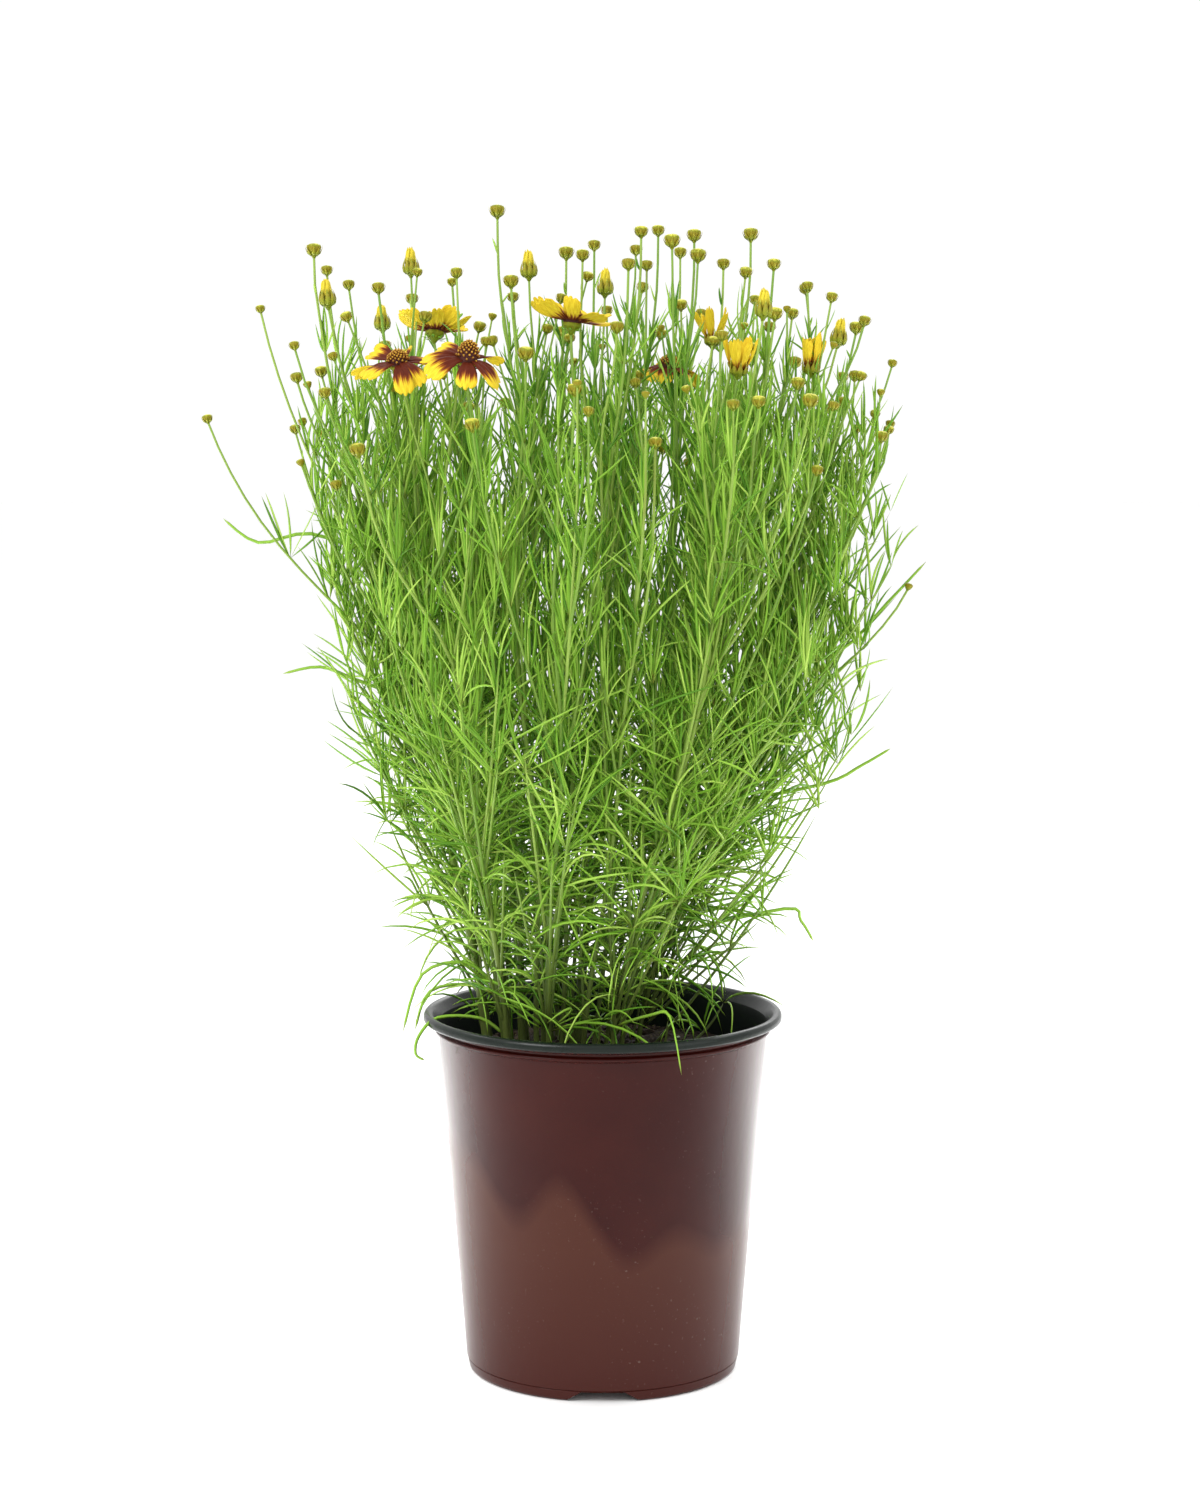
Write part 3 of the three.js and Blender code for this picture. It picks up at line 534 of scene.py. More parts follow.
def placeCorner(vert, one, ring, layers):
    corner, along, tone = layers[1:]
    centre, side, other = one["frames"][ring]
    number = vert[corner]
    angle = one["facing"] + one["twist"] * ring + number * 2 * math.pi / one["sides"]
    radius = one["radii"][ring]
    shade = one["tone"]
    # The groove corners of a fluted strand get a lower tone: painted shade in the grooves
    if one["flute"] and number % 2:
        radius *= 1 - one["flute"]
        shade = shade - 0.5
    c, s = math.cos(angle), math.sin(angle)
    if one["flat"] != 1.0:  # a blade turns as a whole, so that its flat side keeps facing one way
        base = one["facing"] + one["twist"] * ring
        local = angle - base
        x, y = math.cos(local), math.sin(local) * one["flat"]
        c, s = x * math.cos(base) - y * math.sin(base), x * math.sin(base) + y * math.cos(base)
    vert.co = centre + (side * c + other * s) * radius
    vert[along] = one["along"][ring]
    vert[tone] = shade


def growStrands(bm, strands):
    layers = (
        bm.verts.layers.int.new("which"), bm.verts.layers.int.new("corner"),
        bm.verts.layers.float.new("along"), bm.verts.layers.float.new("tone"),
    )
    which, corner = layers[:2]
    for number, one in enumerate(strands):
        made = bmesh.ops.create_circle(bm, cap_ends=False, segments=one["sides"], radius=1)["verts"]
        for k, vert in enumerate(made):
            vert[which] = number
            vert[corner] = k
            placeCorner(vert, one, 0, layers)
    edges = list(bm.edges)
    closing = list(edges)
    longest = max(len(one["frames"]) for one in strands)
    for ring in range(1, longest):
        edges = [edge for edge in edges if len(strands[edge.verts[0][which]]["frames"]) > ring]
        grown = bmesh.ops.extrude_edge_only(bm, edges=edges)["geom"]
        for vert in grown:
            if isinstance(vert, bmesh.types.BMVert):
                placeCorner(vert, strands[vert[which]], ring, layers)
        edges = [part for part in grown if isinstance(part, bmesh.types.BMEdge)]
        closing += [edge for edge in edges if len(strands[edge.verts[0][which]]["frames"]) == ring + 1]
    bmesh.ops.collapse(bm, edges=closing)
    bmesh.ops.recalc_face_normals(bm, faces=bm.faces)
    for face in bm.faces:
        face.material_index = strands[face.verts[0][which]]["material"]
        face.smooth = True
    bm.verts.layers.int.remove(bm.verts.layers.int["which"])
    bm.verts.layers.int.remove(bm.verts.layers.int["corner"])


leafRule = {  # pairs are near the soil and at the top, angles in degrees
    "seed": 500, "lowest": 151, "shareFrom": 168, "segments": 7,
    "stem": (26, 1.0, 5, 40),  # step between leaves, size, lobes in a leaf, bare length under the head
    "branch": (26, 0.92, 3, 32),
    "shoot": (21, 0.86, 3, 0),
    "sparse": 0.24, "sparseFrom": 160, "sparseRange": 150,
    "rise": (34, 67), "riseSpread": (24, 12), "bend": (-74, 7), "bendSpread": (34, 18),
    "length": (76, 42), "lengthSpread": (0.6, 1.14), "shorterFrom": 412, "shorterBy": 0.34,
    "halfWidth": (0.72, 0.62), "taper": (0.7, 1, 1, 0.97, 0.86, 0.6), "tone": (0.44, 0.25),
    "bloomLevel": 15, "bloomReach": 24, "rimTop": 169, "rimInner": 70, "rimOuter": 84, "massMiddle": -2,
}
shootRule = {
    "seed": 41, "count": 320, "lowest": 212, "highest": 468, "edge": 15, "drop": (48, 110), "lean": (0.4, 0.62),
    "width": 0.85, "bare": 8, "stalkFrom": 392, "stalkShare": 0.75, "stalk": (20, 46), "stalkWidth": 0.42,
    "edgeLean": 0.56, "edgeBare": 14, "edgeStalk": 16, "edgeStalkFrom": 400,
    "basalCount": 10, "basalMiddle": -6, "basalReach": 52, "basalLength": (8, 34), "basalWidth": 0.8,
    "basalBare": 3,
}
leafMass = [  # height, how far out the leaves reach there
    (145, 94), (165, 90), (182, 84), (194, 87), (218, 96), (241, 102), (264, 110), (287, 121), (310, 129),
    (333, 132), (356, 135), (378, 138), (401, 138), (423, 137), (446, 131), (470, 124), (540, 114),
]
edgeShoots = [  # where the outermost side shoots end
    (122, -18, 432), (128, 8, 418), (119, 30, 404), (130, -6, 396), (124, 22, 384), (129, -22, 372),
    (122, 10, 352), (116, -14, 334), (119, 18, 312), (112, -20, 296), (108, 6, 280), (98, -18, 262),
    (121, -34, 412), (116, 40, 440), (-126, -20, 436), (-131, 12, 420), (-128, -30, 402), (-126, 26, 386),
    (-122, -8, 362), (-116, 14, 334), (-112, -22, 308), (-104, 8, 282), (-98, -14, 258), (-124, 36, 414),
]
leafIndex, stalkIndex, budIndex = 0, 1, 2
roomLow = Vector(cadBox[0]) * 1000 - Vector((5, 3, 0))  # leaves may pass the solids' box by this much
roomHigh = Vector(cadBox[1]) * 1000 + Vector((5, 3, 6))


def massRadius(height):
    for (low, a), (high, b) in zip(leafMass, leafMass[1:]):
        if height <= high:
            return mix(a, b, clamp((height - low) / (high - low)))
    return leafMass[-1][1]


def hasRoom(path, reach):
    for point in path[1:]:
        for bloom in openBlooms[:4]:  # the fifth lies among the leaves
            x, y, z = bloom["at"]
            level = abs(point.z - z - 3) < leafRule["bloomLevel"]
            if level and math.hypot(point.x - x, point.y - y) < leafRule["bloomReach"]:
                return False
        if not all(roomLow[k] < point[k] < roomHigh[k] for k in range(3)):
            return False
        if math.hypot(point.x - leafRule["massMiddle"], point.y) > massRadius(point.z) * reach:
            return False
        out = point.xy.length
        if point.z < leafRule["rimTop"] and leafRule["rimInner"] < out < leafRule["rimOuter"]:
            return False
        if point.z < soilHeight(out) + 1 and out <= soil["radius"]:
            return False
    return True


def lobePath(root, heading, fan, curl, rise, turn, length):
    path = [root.copy()]
    count = leafRule["segments"]
    step = length / count
    for k in range(count):
        share = (k + 0.5) / count
        angle = rise + turn * share
        way = heading + fan * min(2.4 * share, 1) + curl * share
        flat = step * math.cos(angle)
        path.append(path[-1] + Vector((flat * math.cos(way), flat * math.sin(way), step * math.sin(angle))))
    return path


def addLobe(strands, rng, root, heading, fan, share, size=1.0, inward=0.0):
    rise = mix(*leafRule["rise"], clamp(share * 2)) + rng.gauss(0, mix(*leafRule["riseSpread"], share))
    turn = mix(*leafRule["bend"], clamp(share * 2.6)) + rng.gauss(0, mix(*leafRule["bendSpread"], share))
    rise, turn = math.radians(rise), math.radians(turn)
    length = mix(*leafRule["length"], clamp(share * 1.6)) * rng.uniform(*leafRule["lengthSpread"])
    length = length * size * (1 - leafRule["shorterBy"] * clamp((root.z - leafRule["shorterFrom"]) / 50))
    curl = rng.gauss(0, 0.35)
    half = mix(*leafRule["halfWidth"], share) * rng.uniform(0.85, 1.15)
    reach = clamp(rng.gauss(1.01, 0.08), 0.86, 1.18)
    for attempt in range(5):
        path = lobePath(root, heading, fan, curl, rise, turn, length)
        if hasRoom(path, reach):
            radii = [0] + [part * half for part in leafRule["taper"]] + [0]
            # inward lowers the tone towards the clump's middle: painted shade
            tone = clamp(rng.gauss(*leafRule["tone"]) - inward)
            facing = rng.uniform(-0.5, 0.5) + math.pi / 2
            strands.append(strand(path, radii, leafIndex, tone, 3, 0.5, facing, twist=rng.uniform(-0.12, 0.12)))
            return
        length *= 0.9  # a lobe without room gets shorter and steeper
        rise += 0.16


def addNodeLeaves(strands, rng, root, turn, share, size, lobes):
    height = clamp((root.z - leafRule["sparseFrom"]) / leafRule["sparseRange"])
    if rng.random() > mix(leafRule["sparse"], 1, height):
        return
    # Leaves nearer the middle of the clump get a darker tone: painted shade inside the clump
    inward = 0.3 * (1 - clamp(fromMiddle(root) / (spread(root.z) * 0.8)))
    for leaf in range(2):
        heading = turn + leaf * math.pi + rng.uniform(-0.2, 0.2)
        for lobe in range(lobes):
            fan = (lobe - (lobes - 1) / 2) * mix(0.52, 0.42, share) + rng.uniform(-0.2, 0.2)
            shorter = 1 - 0.13 * abs(lobe - (lobes - 1) / 2)
            addLobe(strands, rng, root, heading, fan, share, size * shorter, inward)


def pointOn(path, distance):
    for a, b in zip(path, path[1:]):
        step = (b - a).length
        if distance <= step:
            return a.lerp(b, distance / step)
        distance -= step
    return path[-1].copy()


def pathLength(path):
    return sum((b - a).length for a, b in zip(path, path[1:]))


def addAxisLeaves(strands, rng, axis, step, size, lobes, margin):
    total = pathLength(axis["path"]) - margin
    distance = step * rng.uniform(0.3, 0.9) + axis.get("bare", 0)
    turn = rng.uniform(0, math.pi)
    while distance < total:
        root = pointOn(axis["path"], distance)
        share = clamp((root.z - leafRule["shareFrom"]) / (stemRule["topHeight"] - leafRule["shareFrom"]))
        if root.z > leafRule["lowest"]:
            addNodeLeaves(strands, rng, root, turn, share, size, lobes)
        turn += math.pi / 2 + rng.uniform(-0.3, 0.3)
        distance += step * rng.uniform(0.8, 1.2)
    while margin > 20 and distance < total + margin - 14:  # small single leaves on the bare stalk
        root = pointOn(axis["path"], distance)
        addLobe(strands, rng, root, turn, 0, 0.9, rng.uniform(0.2, 0.46))
        turn += 2.4
        distance += rng.uniform(9, 26)


def bowed(root, target, lean):
    corner = root.lerp(target, lean)
    corner.z = mix(root.z, target.z, 0.42)
    path = []
    for s in range(9):
        t = s / 8
        path.append(root * (1 - t) ** 2 + corner * (2 * t * (1 - t)) + target * t ** 2)
    return path


def addShoot(stem, path, width, bare, stalk=0):
    axis = {"kind": "shoot", "path": path, "bare": bare, "stalk": stalk}
    if stalk:
        lean = Vector((math.sin(stalk * 9), math.cos(stalk * 7), 0)) * 0.24
        way = ((path[-1] - path[-2]).normalized().lerp(up, 0.35) + lean).normalized()
        end = path[-1] + way * stalk
        if not all(roomLow[k] + 4 < end[k] < roomHigh[k] - 4 for k in range(3)):
            way = up.copy()
        place = path[-1] + way * stalk
        axis["bud"] = {"kind": "closed", "place": place, "radius": 1.7 + (place.z % 1.1), "way": way}
        path += [path[-1] + way * stalk * part for part in (0.35, 0.7, 1)] + [place + way]
    last = len(path) - 1
    axis["radii"] = [mix(width, shootRule["stalkWidth"], s / last) for s in range(last + 1)]
    stem["axes"].append(axis)


def nearestStem(stems, height, target):
    stem = min(stems, key=lambda one: (one["placeAt"](height) - target).xy.length)
    return stem, (stem["placeAt"](height) - target).xy.length


# Side shoots fill the clump evenly: each ends at its own place and starts on the nearest stem
def growShoots(stems):
    rng = random.Random(shootRule["seed"])
    count, middle = shootRule["count"], leafRule["massMiddle"]
    heights = [mix(shootRule["lowest"], shootRule["highest"], (k + 0.5) / count) for k in range(count)]
    rng.shuffle(heights)
    for k, top in enumerate(heights):
        out = (massRadius(top) - shootRule["edge"]) * math.sqrt(rng.uniform(0.03, 1))
        angle = k * goldenTurn - 0.22 * math.sin(2 * k * goldenTurn)
        target = Vector((middle + out * math.cos(angle), out * math.sin(angle), top))
        start = max(top - rng.uniform(*shootRule["drop"]), 160)
        for attempt in range(2):
            stem, side = nearestStem(stems, start, target)
            start = min(start, max(top - 1.3 * side, 156))
        path = bowed(stem["placeAt"](start), target, mix(*shootRule["lean"], clamp((top - 240) / 140)))
        if hasRoom(path, 1.0):
            hasStalk = top > shootRule["stalkFrom"] and rng.random() < shootRule["stalkShare"]
            stalk = rng.uniform(*shootRule["stalk"]) if hasStalk else 0
            addShoot(stem, path, shootRule["width"], shootRule["bare"], stalk)
    for x, y, z in edgeShoots:
        target = Vector((x, y, z))
        stem, side = nearestStem(stems, z - 60, target)
        path = bowed(stem["placeAt"](z - 40 - 1.1 * side), target, shootRule["edgeLean"])
        stalk = shootRule["edgeStalk"] if z > shootRule["edgeStalkFrom"] else 0
        addShoot(stem, path, shootRule["width"], shootRule["edgeBare"], stalk)
    growBasalShoots(stems, rng)


def growBasalShoots(stems, rng):
    count, middle, reach = shootRule["basalCount"], shootRule["basalMiddle"], shootRule["basalReach"]
    for k in range(count):
        out = reach * math.sqrt((k + 0.5) / count)
        foot = Vector((middle + out * math.cos(k * goldenTurn), out * math.sin(k * goldenTurn), 0))
        foot.z = soilHeight(foot.xy.length) - 1.5
        outward = Vector((foot.x - middle, foot.y, 0)) / reach
        length = rng.uniform(*shootRule["basalLength"])
        lean = outward * rng.uniform(0.2, 0.75) + Vector((rng.uniform(-0.3, 0.3), rng.uniform(-0.3, 0.3), 0))
        path = bowed(foot, foot + (lean + up).normalized() * length, 0.7)
        stem, _ = nearestStem(stems, 150, foot)
        if hasRoom(path[1:], 1.0):
            addShoot(stem, path, shootRule["basalWidth"], shootRule["basalBare"])


def addStray(strands, points, stems):
    first = Vector(points[0])
    start = max(first.z - 12, 158)
    stem = min(stems, key=lambda one: (one["placeAt"](start) - first).length)
    corners = [stem["placeAt"](start)] + [Vector(point) for point in points]
    path = []
    for k in range(len(corners) - 1):
        a, b = corners[max(k - 1, 0)], corners[k]
        c, d = corners[k + 1], corners[min(k + 2, len(corners) - 1)]
        for s in range(4):
            t = s / 4
            point = 2 * b + (c - a) * t + (2 * a - 5 * b + 4 * c - d) * t ** 2
            path.append(0.5 * (point + (3 * b - a - 3 * c + d) * t ** 3))
    path.append(corners[-1])
    radii = [0] + [0.85 - 0.4 * (k / len(path)) ** 2 for k in range(1, len(path) - 1)] + [0]
    strands[stem["index"]].append(strand(path, radii, leafIndex, 0.5, 4, 0.42, math.pi / 2))


headRule = {
    "closedProfile": [  # how high and how wide, as shares of the radius
        (-0.25, 0.2), (0.0, 0.34), (0.35, 0.66), (0.75, 0.9), (1.1, 1.0), (1.36, 0.9), (1.54, 0.56), (1.62, 0),
    ],
    "cupProfile": [(-0.3, 0.2), (0.02, 0.4), (0.25, 0.72), (0.55, 0.95), (0.8, 0.98), (0.92, 0.7)],
    "cupHeight": {"opening": 3.2, "half": 3.2, "bloom": 4.2},
    "swell": 1.08,
    "plainUnder": 2.1,
    "bracts": {  # count, half width, material, tone, rows of how far out and how high
        "closed": (8, 0.3, budIndex, 0.7, [(0.3, -0.1), (0.76, 0.36), (1.06, 0.95), (1.14, 1.52)]),
        "opening": (9, 1.4, budIndex, 0.66, [
            (2.4, 0.5), (3.3, 1.8), (3.7, 3.6), (3.5, 5.3), (3.1, 6.9), (2.6, 8.3),
        ]),
        "half": (9, 1.35, budIndex, 0.62, [(2.6, 0.6), (3.6, 2.0), (3.95, 3.8), (4.1, 5.6), (4.3, 7.4)]),
        "bloom": (8, 0.9, leafIndex, 0.4, [(2.6, 0.4), (4.0, 0.8), (5.6, 1.2), (7.6, 0.6)]),
    },
}


def headWay(head):
    if "lean" in head:
        return Vector((head["lean"][0], head["lean"][1], 1)).normalized()
    return head["way"]


def headTurn(head):
    return Matrix.Translation(head["place"]) @ up.rotation_difference(headWay(head)).to_matrix().to_4x4()


# Bracts lie against their head
def addBracts(strands, turn, rows, count, halfWidth, material, tone, rng):
    last = len(rows) - 1
    wide = [halfWidth * math.sin(math.pi * (0.3 + 0.62 * j / (last - 1))) for j in range(1, last)]
    for k in range(count):
        heading = (k + rng.uniform(-0.12, 0.12)) * 2 * math.pi / count
        way = Vector((math.cos(heading), math.sin(heading), 0))
        points = [turn @ (way * out + up * height) for out, height in rows]
        tangent = turn.to_3x3() @ up.cross(way)
        strands.append(strand(points, [0] + wide + [0], material, tone, 4, 0.3, hint=tangent))


def addHead(strands, head, rng):
    turn = headTurn(head)
    closed = head["kind"] == "closed"
    radius = head["radius"] * (headRule["swell"] if closed else 1)
    profile = headRule["closedProfile"] if closed else headRule["cupProfile"]
    height = 1.0 if closed else headRule["cupHeight"][head["kind"]] / radius / profile[-1][0]
    path = [turn @ Vector((0, 0, along * radius * height)) for along, _ in [(-0.4, 0)] + profile]
    radii = [0] + [wide * radius for _, wide in profile]
    if not closed:
        path.append(path[-1] + (path[-1] - path[-2]) * 0.02)
        radii.append(0)
    along = [clamp(0.05 + 0.95 * (k / (len(path) - 1))) for k in range(len(path))]
    if not closed:
        along = [0.55 * part for part in along]
    ripe = rng.uniform(-0.12, 0.12)
    along = [clamp(part + ripe * part) for part in along]
    strands.append(strand(path, radii, budIndex, 0.62, 16, 1.0, rng.uniform(0, 1), 0.07, along=along))
    if radius > headRule["plainUnder"]:
        count, halfWidth, material, tone, rows = headRule["bracts"][head["kind"]]
        size = radius if closed else 1
        rows = [(out * size, high * size) for out, high in rows]
        addBracts(strands, turn, rows, count, halfWidth * size, material, tone, rng)


def buildStems():
    stems = makeStems()
    materials = [leafMaterial(), stalkMaterial(), budMaterial()]
    strands = {stem["index"]: [] for stem in stems}
    for points in strayLeaves:
        addStray(strands, points, stems)
    growShoots(stems)
    for stem in stems:
        rng = random.Random(leafRule["seed"] + stem["index"])
        mine = strands[stem["index"]]
        for axis in stem["axes"]:
            sides = 8 if axis["kind"] == "stem" else 6
            radii = [0] + axis["radii"][1:-1] + [0]
            mine.append(strand(axis["path"], radii, stalkIndex, rng.uniform(0.15, 0.7), sides))
            step, size, lobes, margin = leafRule[axis["kind"]]
            addAxisLeaves(mine, rng, axis, step, size, lobes, axis.get("stalk", margin))
            if axis["kind"] == "shoot":
                tip = axis["path"][8]
                addNodeLeaves(mine, rng, tip, rng.uniform(0, 3), clamp((tip.z - 150) / 200), 0.66, 2)
        for head in stem["heads"] + [axis["bud"] for axis in stem["axes"] if "bud" in axis]:
            addHead(mine, head, rng)
        bm = bmesh.new()
        growStrands(bm, mine)
        name = f"{stem['index'] + 1:02d}"
        finishPiece(f"leafyStem{name}", bm, materials, f"leafy_stem_{name}")
    print("leafy stems:", sum(len(mine) for mine in strands.values()), "strands")
    return stems


petalRule = {
    "seed": 900, "width": 10.2, "thickness": 0.4, "rootRadius": 2.9, "halfOpenLength": 16.5,
    "ribs": 3.0, "ribHeight": 0.22, "across": 12, "along": 16, "steps": 24,
    "toothPlace": 0.36, "toothWidth": 0.13, "undersideStain": 0.45,
    "yellow": (0.84, 0.66, 0.035), "gold": (0.66, 0.42, 0.012),
    "maroon": (0.10, 0.013, 0.003), "rust": (0.33, 0.085, 0.006),
    "rolledPale": (0.60, 0.46, 0.03), "floretPale": (0.24, 0.085, 0.008),
}
rolledColours = [
    (0.25, (0.22, 0.21, 0.02)), (0.55, (0.42, 0.36, 0.025)),
    (0.8, (0.66, 0.56, 0.035)), (1.0, (0.80, 0.66, 0.05)),
]
floretColours = [
    (0.1, (0.05, 0.008, 0.006)), (0.6, (0.14, 0.028, 0.008)),
    (0.95, (0.33, 0.12, 0.01)), (1.15, (0.6, 0.35, 0.03)),
]
petalOutline = [(0, 0.3), (0.15, 0.52), (0.35, 0.78), (0.55, 0.94), (0.75, 1.0), (0.9, 0.94), (1.0, 0.74)]


def petalMaterial():
    material, tree, shader = newMaterial("petalYellow", 0.62, 0.16)
    along, across = ownValue(tree, "along"), ownValue(tree, "across")
    streaks = addNode(tree, "ShaderNodeCombineXYZ", X=across, Y=times(tree, along, 0.12)).outputs[0]
    fibre = addNode(tree, "ShaderNodeTexNoise", Vector=streaks, Scale=9.0, Detail=4.0).outputs["Fac"]
    fine = addNode(tree, "ShaderNodeTexNoise", Vector=streaks, Scale=40.0, Detail=2.0).outputs["Fac"]
    edge = plus(tree, along, times(tree, math2(tree, "SUBTRACT", fibre, 0.5), 0.85))
    stain = math2(tree, "SUBTRACT", edge, ownValue(tree, "stain"))
    yellow = mixed(tree, steps(tree, fine, 0.38, 0.66), petalRule["yellow"], petalRule["gold"])
    body = mixed(tree, steps(tree, stain, 0.16, 0.0), yellow, petalRule["rust"])
    base = mixed(tree, steps(tree, stain, 0.04, -0.1), body, petalRule["maroon"])
    paint(tree, shader, base)
    bump(tree, shader, fine, 0.3, 0.0003)
    return material


def rolledMaterial():
    material, tree, shader = newMaterial("rolledPetal", 0.6, 0.18)
    place = plus(tree, ownValue(tree, "along"), times(tree, objectNoise(tree, 800, 3), 0.4))
    body = ramp(tree, place, rolledColours)
    paint(tree, shader, mixed(tree, ownValue(tree, "tone"), body, petalRule["rolledPale"]))
    bump(tree, shader, objectNoise(tree, 900, 2, (1, 1, 0.2)), 0.4, 0.0003)
    return material


def floretMaterial():
    material, tree, shader = newMaterial("floretRust", 0.6, 0.3)
    place = plus(tree, ownValue(tree, "along"), times(tree, objectNoise(tree, 900, 3), 0.3))
    body = ramp(tree, place, floretColours)
    paint(tree, shader, mixed(tree, ownValue(tree, "tone"), body, petalRule["floretPale"]))
    bump(tree, shader, objectNoise(tree, 1400, 2), 0.4, 0.0003)
    return material


def outlineAt(share):
    for (a, low), (b, high) in zip(petalOutline, petalOutline[1:]):
        if share <= b:
            return mix(low, high, ease((share - a) / (b - a)))
    return petalOutline[-1][1]


def petalCourse(petal):
    count = petalRule["steps"]
    course = [(0.0, 0.0)]
    for k in range(count):
        angle = mix(petal["start"], petal["end"], (k + 0.5) / count)
        step = petal["length"] / count
        course.append((course[-1][0] + math.cos(angle) * step, course[-1][1] + math.sin(angle) * step))
    return course


# A petal is a grid bent along its course, with ribs, a cupped and twisted section and teeth at its tip
def addPetal(bm, layers, turn, petal, rng):
    along, across, stained = layers
    cells = {"x_segments": petalRule["across"], "y_segments": petalRule["along"]}
    grid = bmesh.ops.create_grid(bm, **cells, size=0.5)["verts"]
    course, count = petalCourse(petal), petalRule["steps"]
    notch, wave, cup = rng.uniform(0.06, 0.11), rng.uniform(-0.9, 0.9), petal["cup"]
    spin = Matrix.Rotation(petal["heading"], 4, "Z")
    for vert in grid:
        u, s = 2 * vert.co.x, vert.co.y + 0.5
        vert[along], vert[across], vert[stained] = s, 0.5 * u, petal["stain"]
        dent = (abs(u) - petalRule["toothPlace"]) / petalRule["toothWidth"]
        teeth = notch * math.exp(-(dent ** 2)) + 0.1 * u * u
        place = clamp(s * (1 - teeth * s ** 5)) * count
        k = min(int(place), count - 1)
        (x0, z0), (x1, z1) = course[k], course[k + 1]
        out, high = mix(x0, x1, place - k), mix(z0, z1, place - k)
        angle = mix(petal["start"], petal["end"], place / count)
        half = outlineAt(s) * petal["width"] / 2
        rib = petalRule["ribHeight"] * math.cos(u * math.pi * petalRule["ribs"])
        rise = rib * clamp(3 * s) * clamp(2.4 * (1 - s) + 0.35) + cup * u * u * half * clamp(1.6 * s)
        rise += wave * math.sin(2.6 * s + 2 * u) * s
        side = u * half * (1 - 0.25 * abs(cup) * abs(u))
        roll = petal["twist"] * s
        cosine, sine = math.cos(roll), math.sin(roll)
        side, rise = side * cosine - rise * sine, side * sine + rise * cosine
        forward = petal["root"] + out - math.sin(angle) * rise
        vert.co = turn @ spin @ Vector((forward, side, petal["lift"] + high + math.cos(angle) * rise))


def startPetals():
    bm = bmesh.new()
    layers = tuple(bm.verts.layers.float.new(name) for name in ("along", "across", "stain"))
    return bm, layers


def finishPetals(bm, name, node, material, way, upright=False):
    bmesh.ops.recalc_face_normals(bm, faces=bm.faces)
    bmesh.ops.solidify(bm, geom=bm.faces[:], thickness=petalRule["thickness"])
    for face in bm.faces:
        face.smooth = True
    bm.normal_update()
    stained = bm.verts.layers.float["stain"]
    for vert in bm.verts:  # the underside of an open petal has hardly any of the stain
        if vert.normal.dot(way) < -0.1 and not upright:
            vert[stained] *= petalRule["undersideStain"]
    finishPiece(name, bm, [material], node)


def openPetal(head, k, rng):
    heading = (k + rng.uniform(-0.28, 0.28)) * 2 * math.pi / head["petals"]
    hang = head["droop"] - 14 * math.sin(heading) * (head["droop"] > 0)  # the near ones hang lower
    return {
        "heading": heading,
        "length": (head["length"] - petalRule["rootRadius"]) * rng.uniform(0.82, 1.06),
        "width": petalRule["width"] * rng.uniform(0.88, 1.08),
        "start": rng.uniform(-0.05, 0.25),
        "end": -math.radians(hang + rng.uniform(-26, 26)),
        "root": petalRule["rootRadius"],
        "lift": 4.5 + 0.45 * (k % 2),
        "cup": rng.uniform(-0.2, 0.28),
        "twist": rng.uniform(-0.8, 0.8),
        "stain": rng.uniform(0.5, 0.64),
    }


def halfOpenPetal(head, k, rng):
    tilt = math.pi / 2 - math.radians(head["flare"]) * rng.uniform(0.1, 1.9)
    return {
        "heading": (k + rng.uniform(-0.2, 0.2)) * 2 * math.pi / head["petals"],
        "length": petalRule["halfOpenLength"] * rng.uniform(0.78, 1.06),
        "width": head["width"] * rng.uniform(0.85, 1.15),
        "start": tilt - 0.25,
        "end": tilt + rng.uniform(-0.1, 0.3),
        "root": 1.7 + 0.5 * (k % 2),
        "lift": 2.9,
        "cup": rng.uniform(0.3, 0.6),
        "twist": rng.uniform(-0.3, 0.3),
        "stain": rng.uniform(0.08, 0.24),
    }


def buildBlooms(stems):
    petals, florets, rolled = petalMaterial(), floretMaterial(), rolledMaterial()
    for head in [head for stem in stems for head in stem["heads"] if head["kind"] != "closed"]:
        rng = random.Random(petalRule["seed"] + head["number"] + 10 * len(head["kind"]))
        turn, number, isOpen = headTurn(head), head["number"], head["kind"] == "bloom"
        if head["kind"] == "opening":
            buildRolled(head, turn, rolled, rng)
            continue
        makePetal = openPetal if isOpen else halfOpenPetal
        bm, layers = startPetals()
        for k in range(head["petals"]):
            addPetal(bm, layers, turn, makePetal(head, k, rng), rng)
        name = f"bloomPetals{number}" if isOpen else f"halfOpenPetals{number}"
        node = f"bloom_{number}_rays" if isOpen else f"half_open_bloom_{number}_rays"
        finishPetals(bm, name, node, petals, headWay(head), not isOpen)
        if isOpen:
            buildDisc(head, turn, florets, rng)
    print("blooms built")


discRule = {
    "radius": 4.9, "base": 4.6, "height": 4.4, "tallNumber": 2, "tallHeight": 7.2, "florets": 74,
    "profile": [(-0.6, 0.9), (0.0, 1.0), (0.35, 0.93), (0.65, 0.74), (0.88, 0.42), (1.0, 0.0)],
    "floretRadii": [0, 0.42, 0.5, 0.42, 0], "floretAlong": [0, 0.3, 0.6, 0.9, 1.05],
}


def onAxis(turn, heights):
    return [turn @ Vector((0, 0, height)) for height in heights]


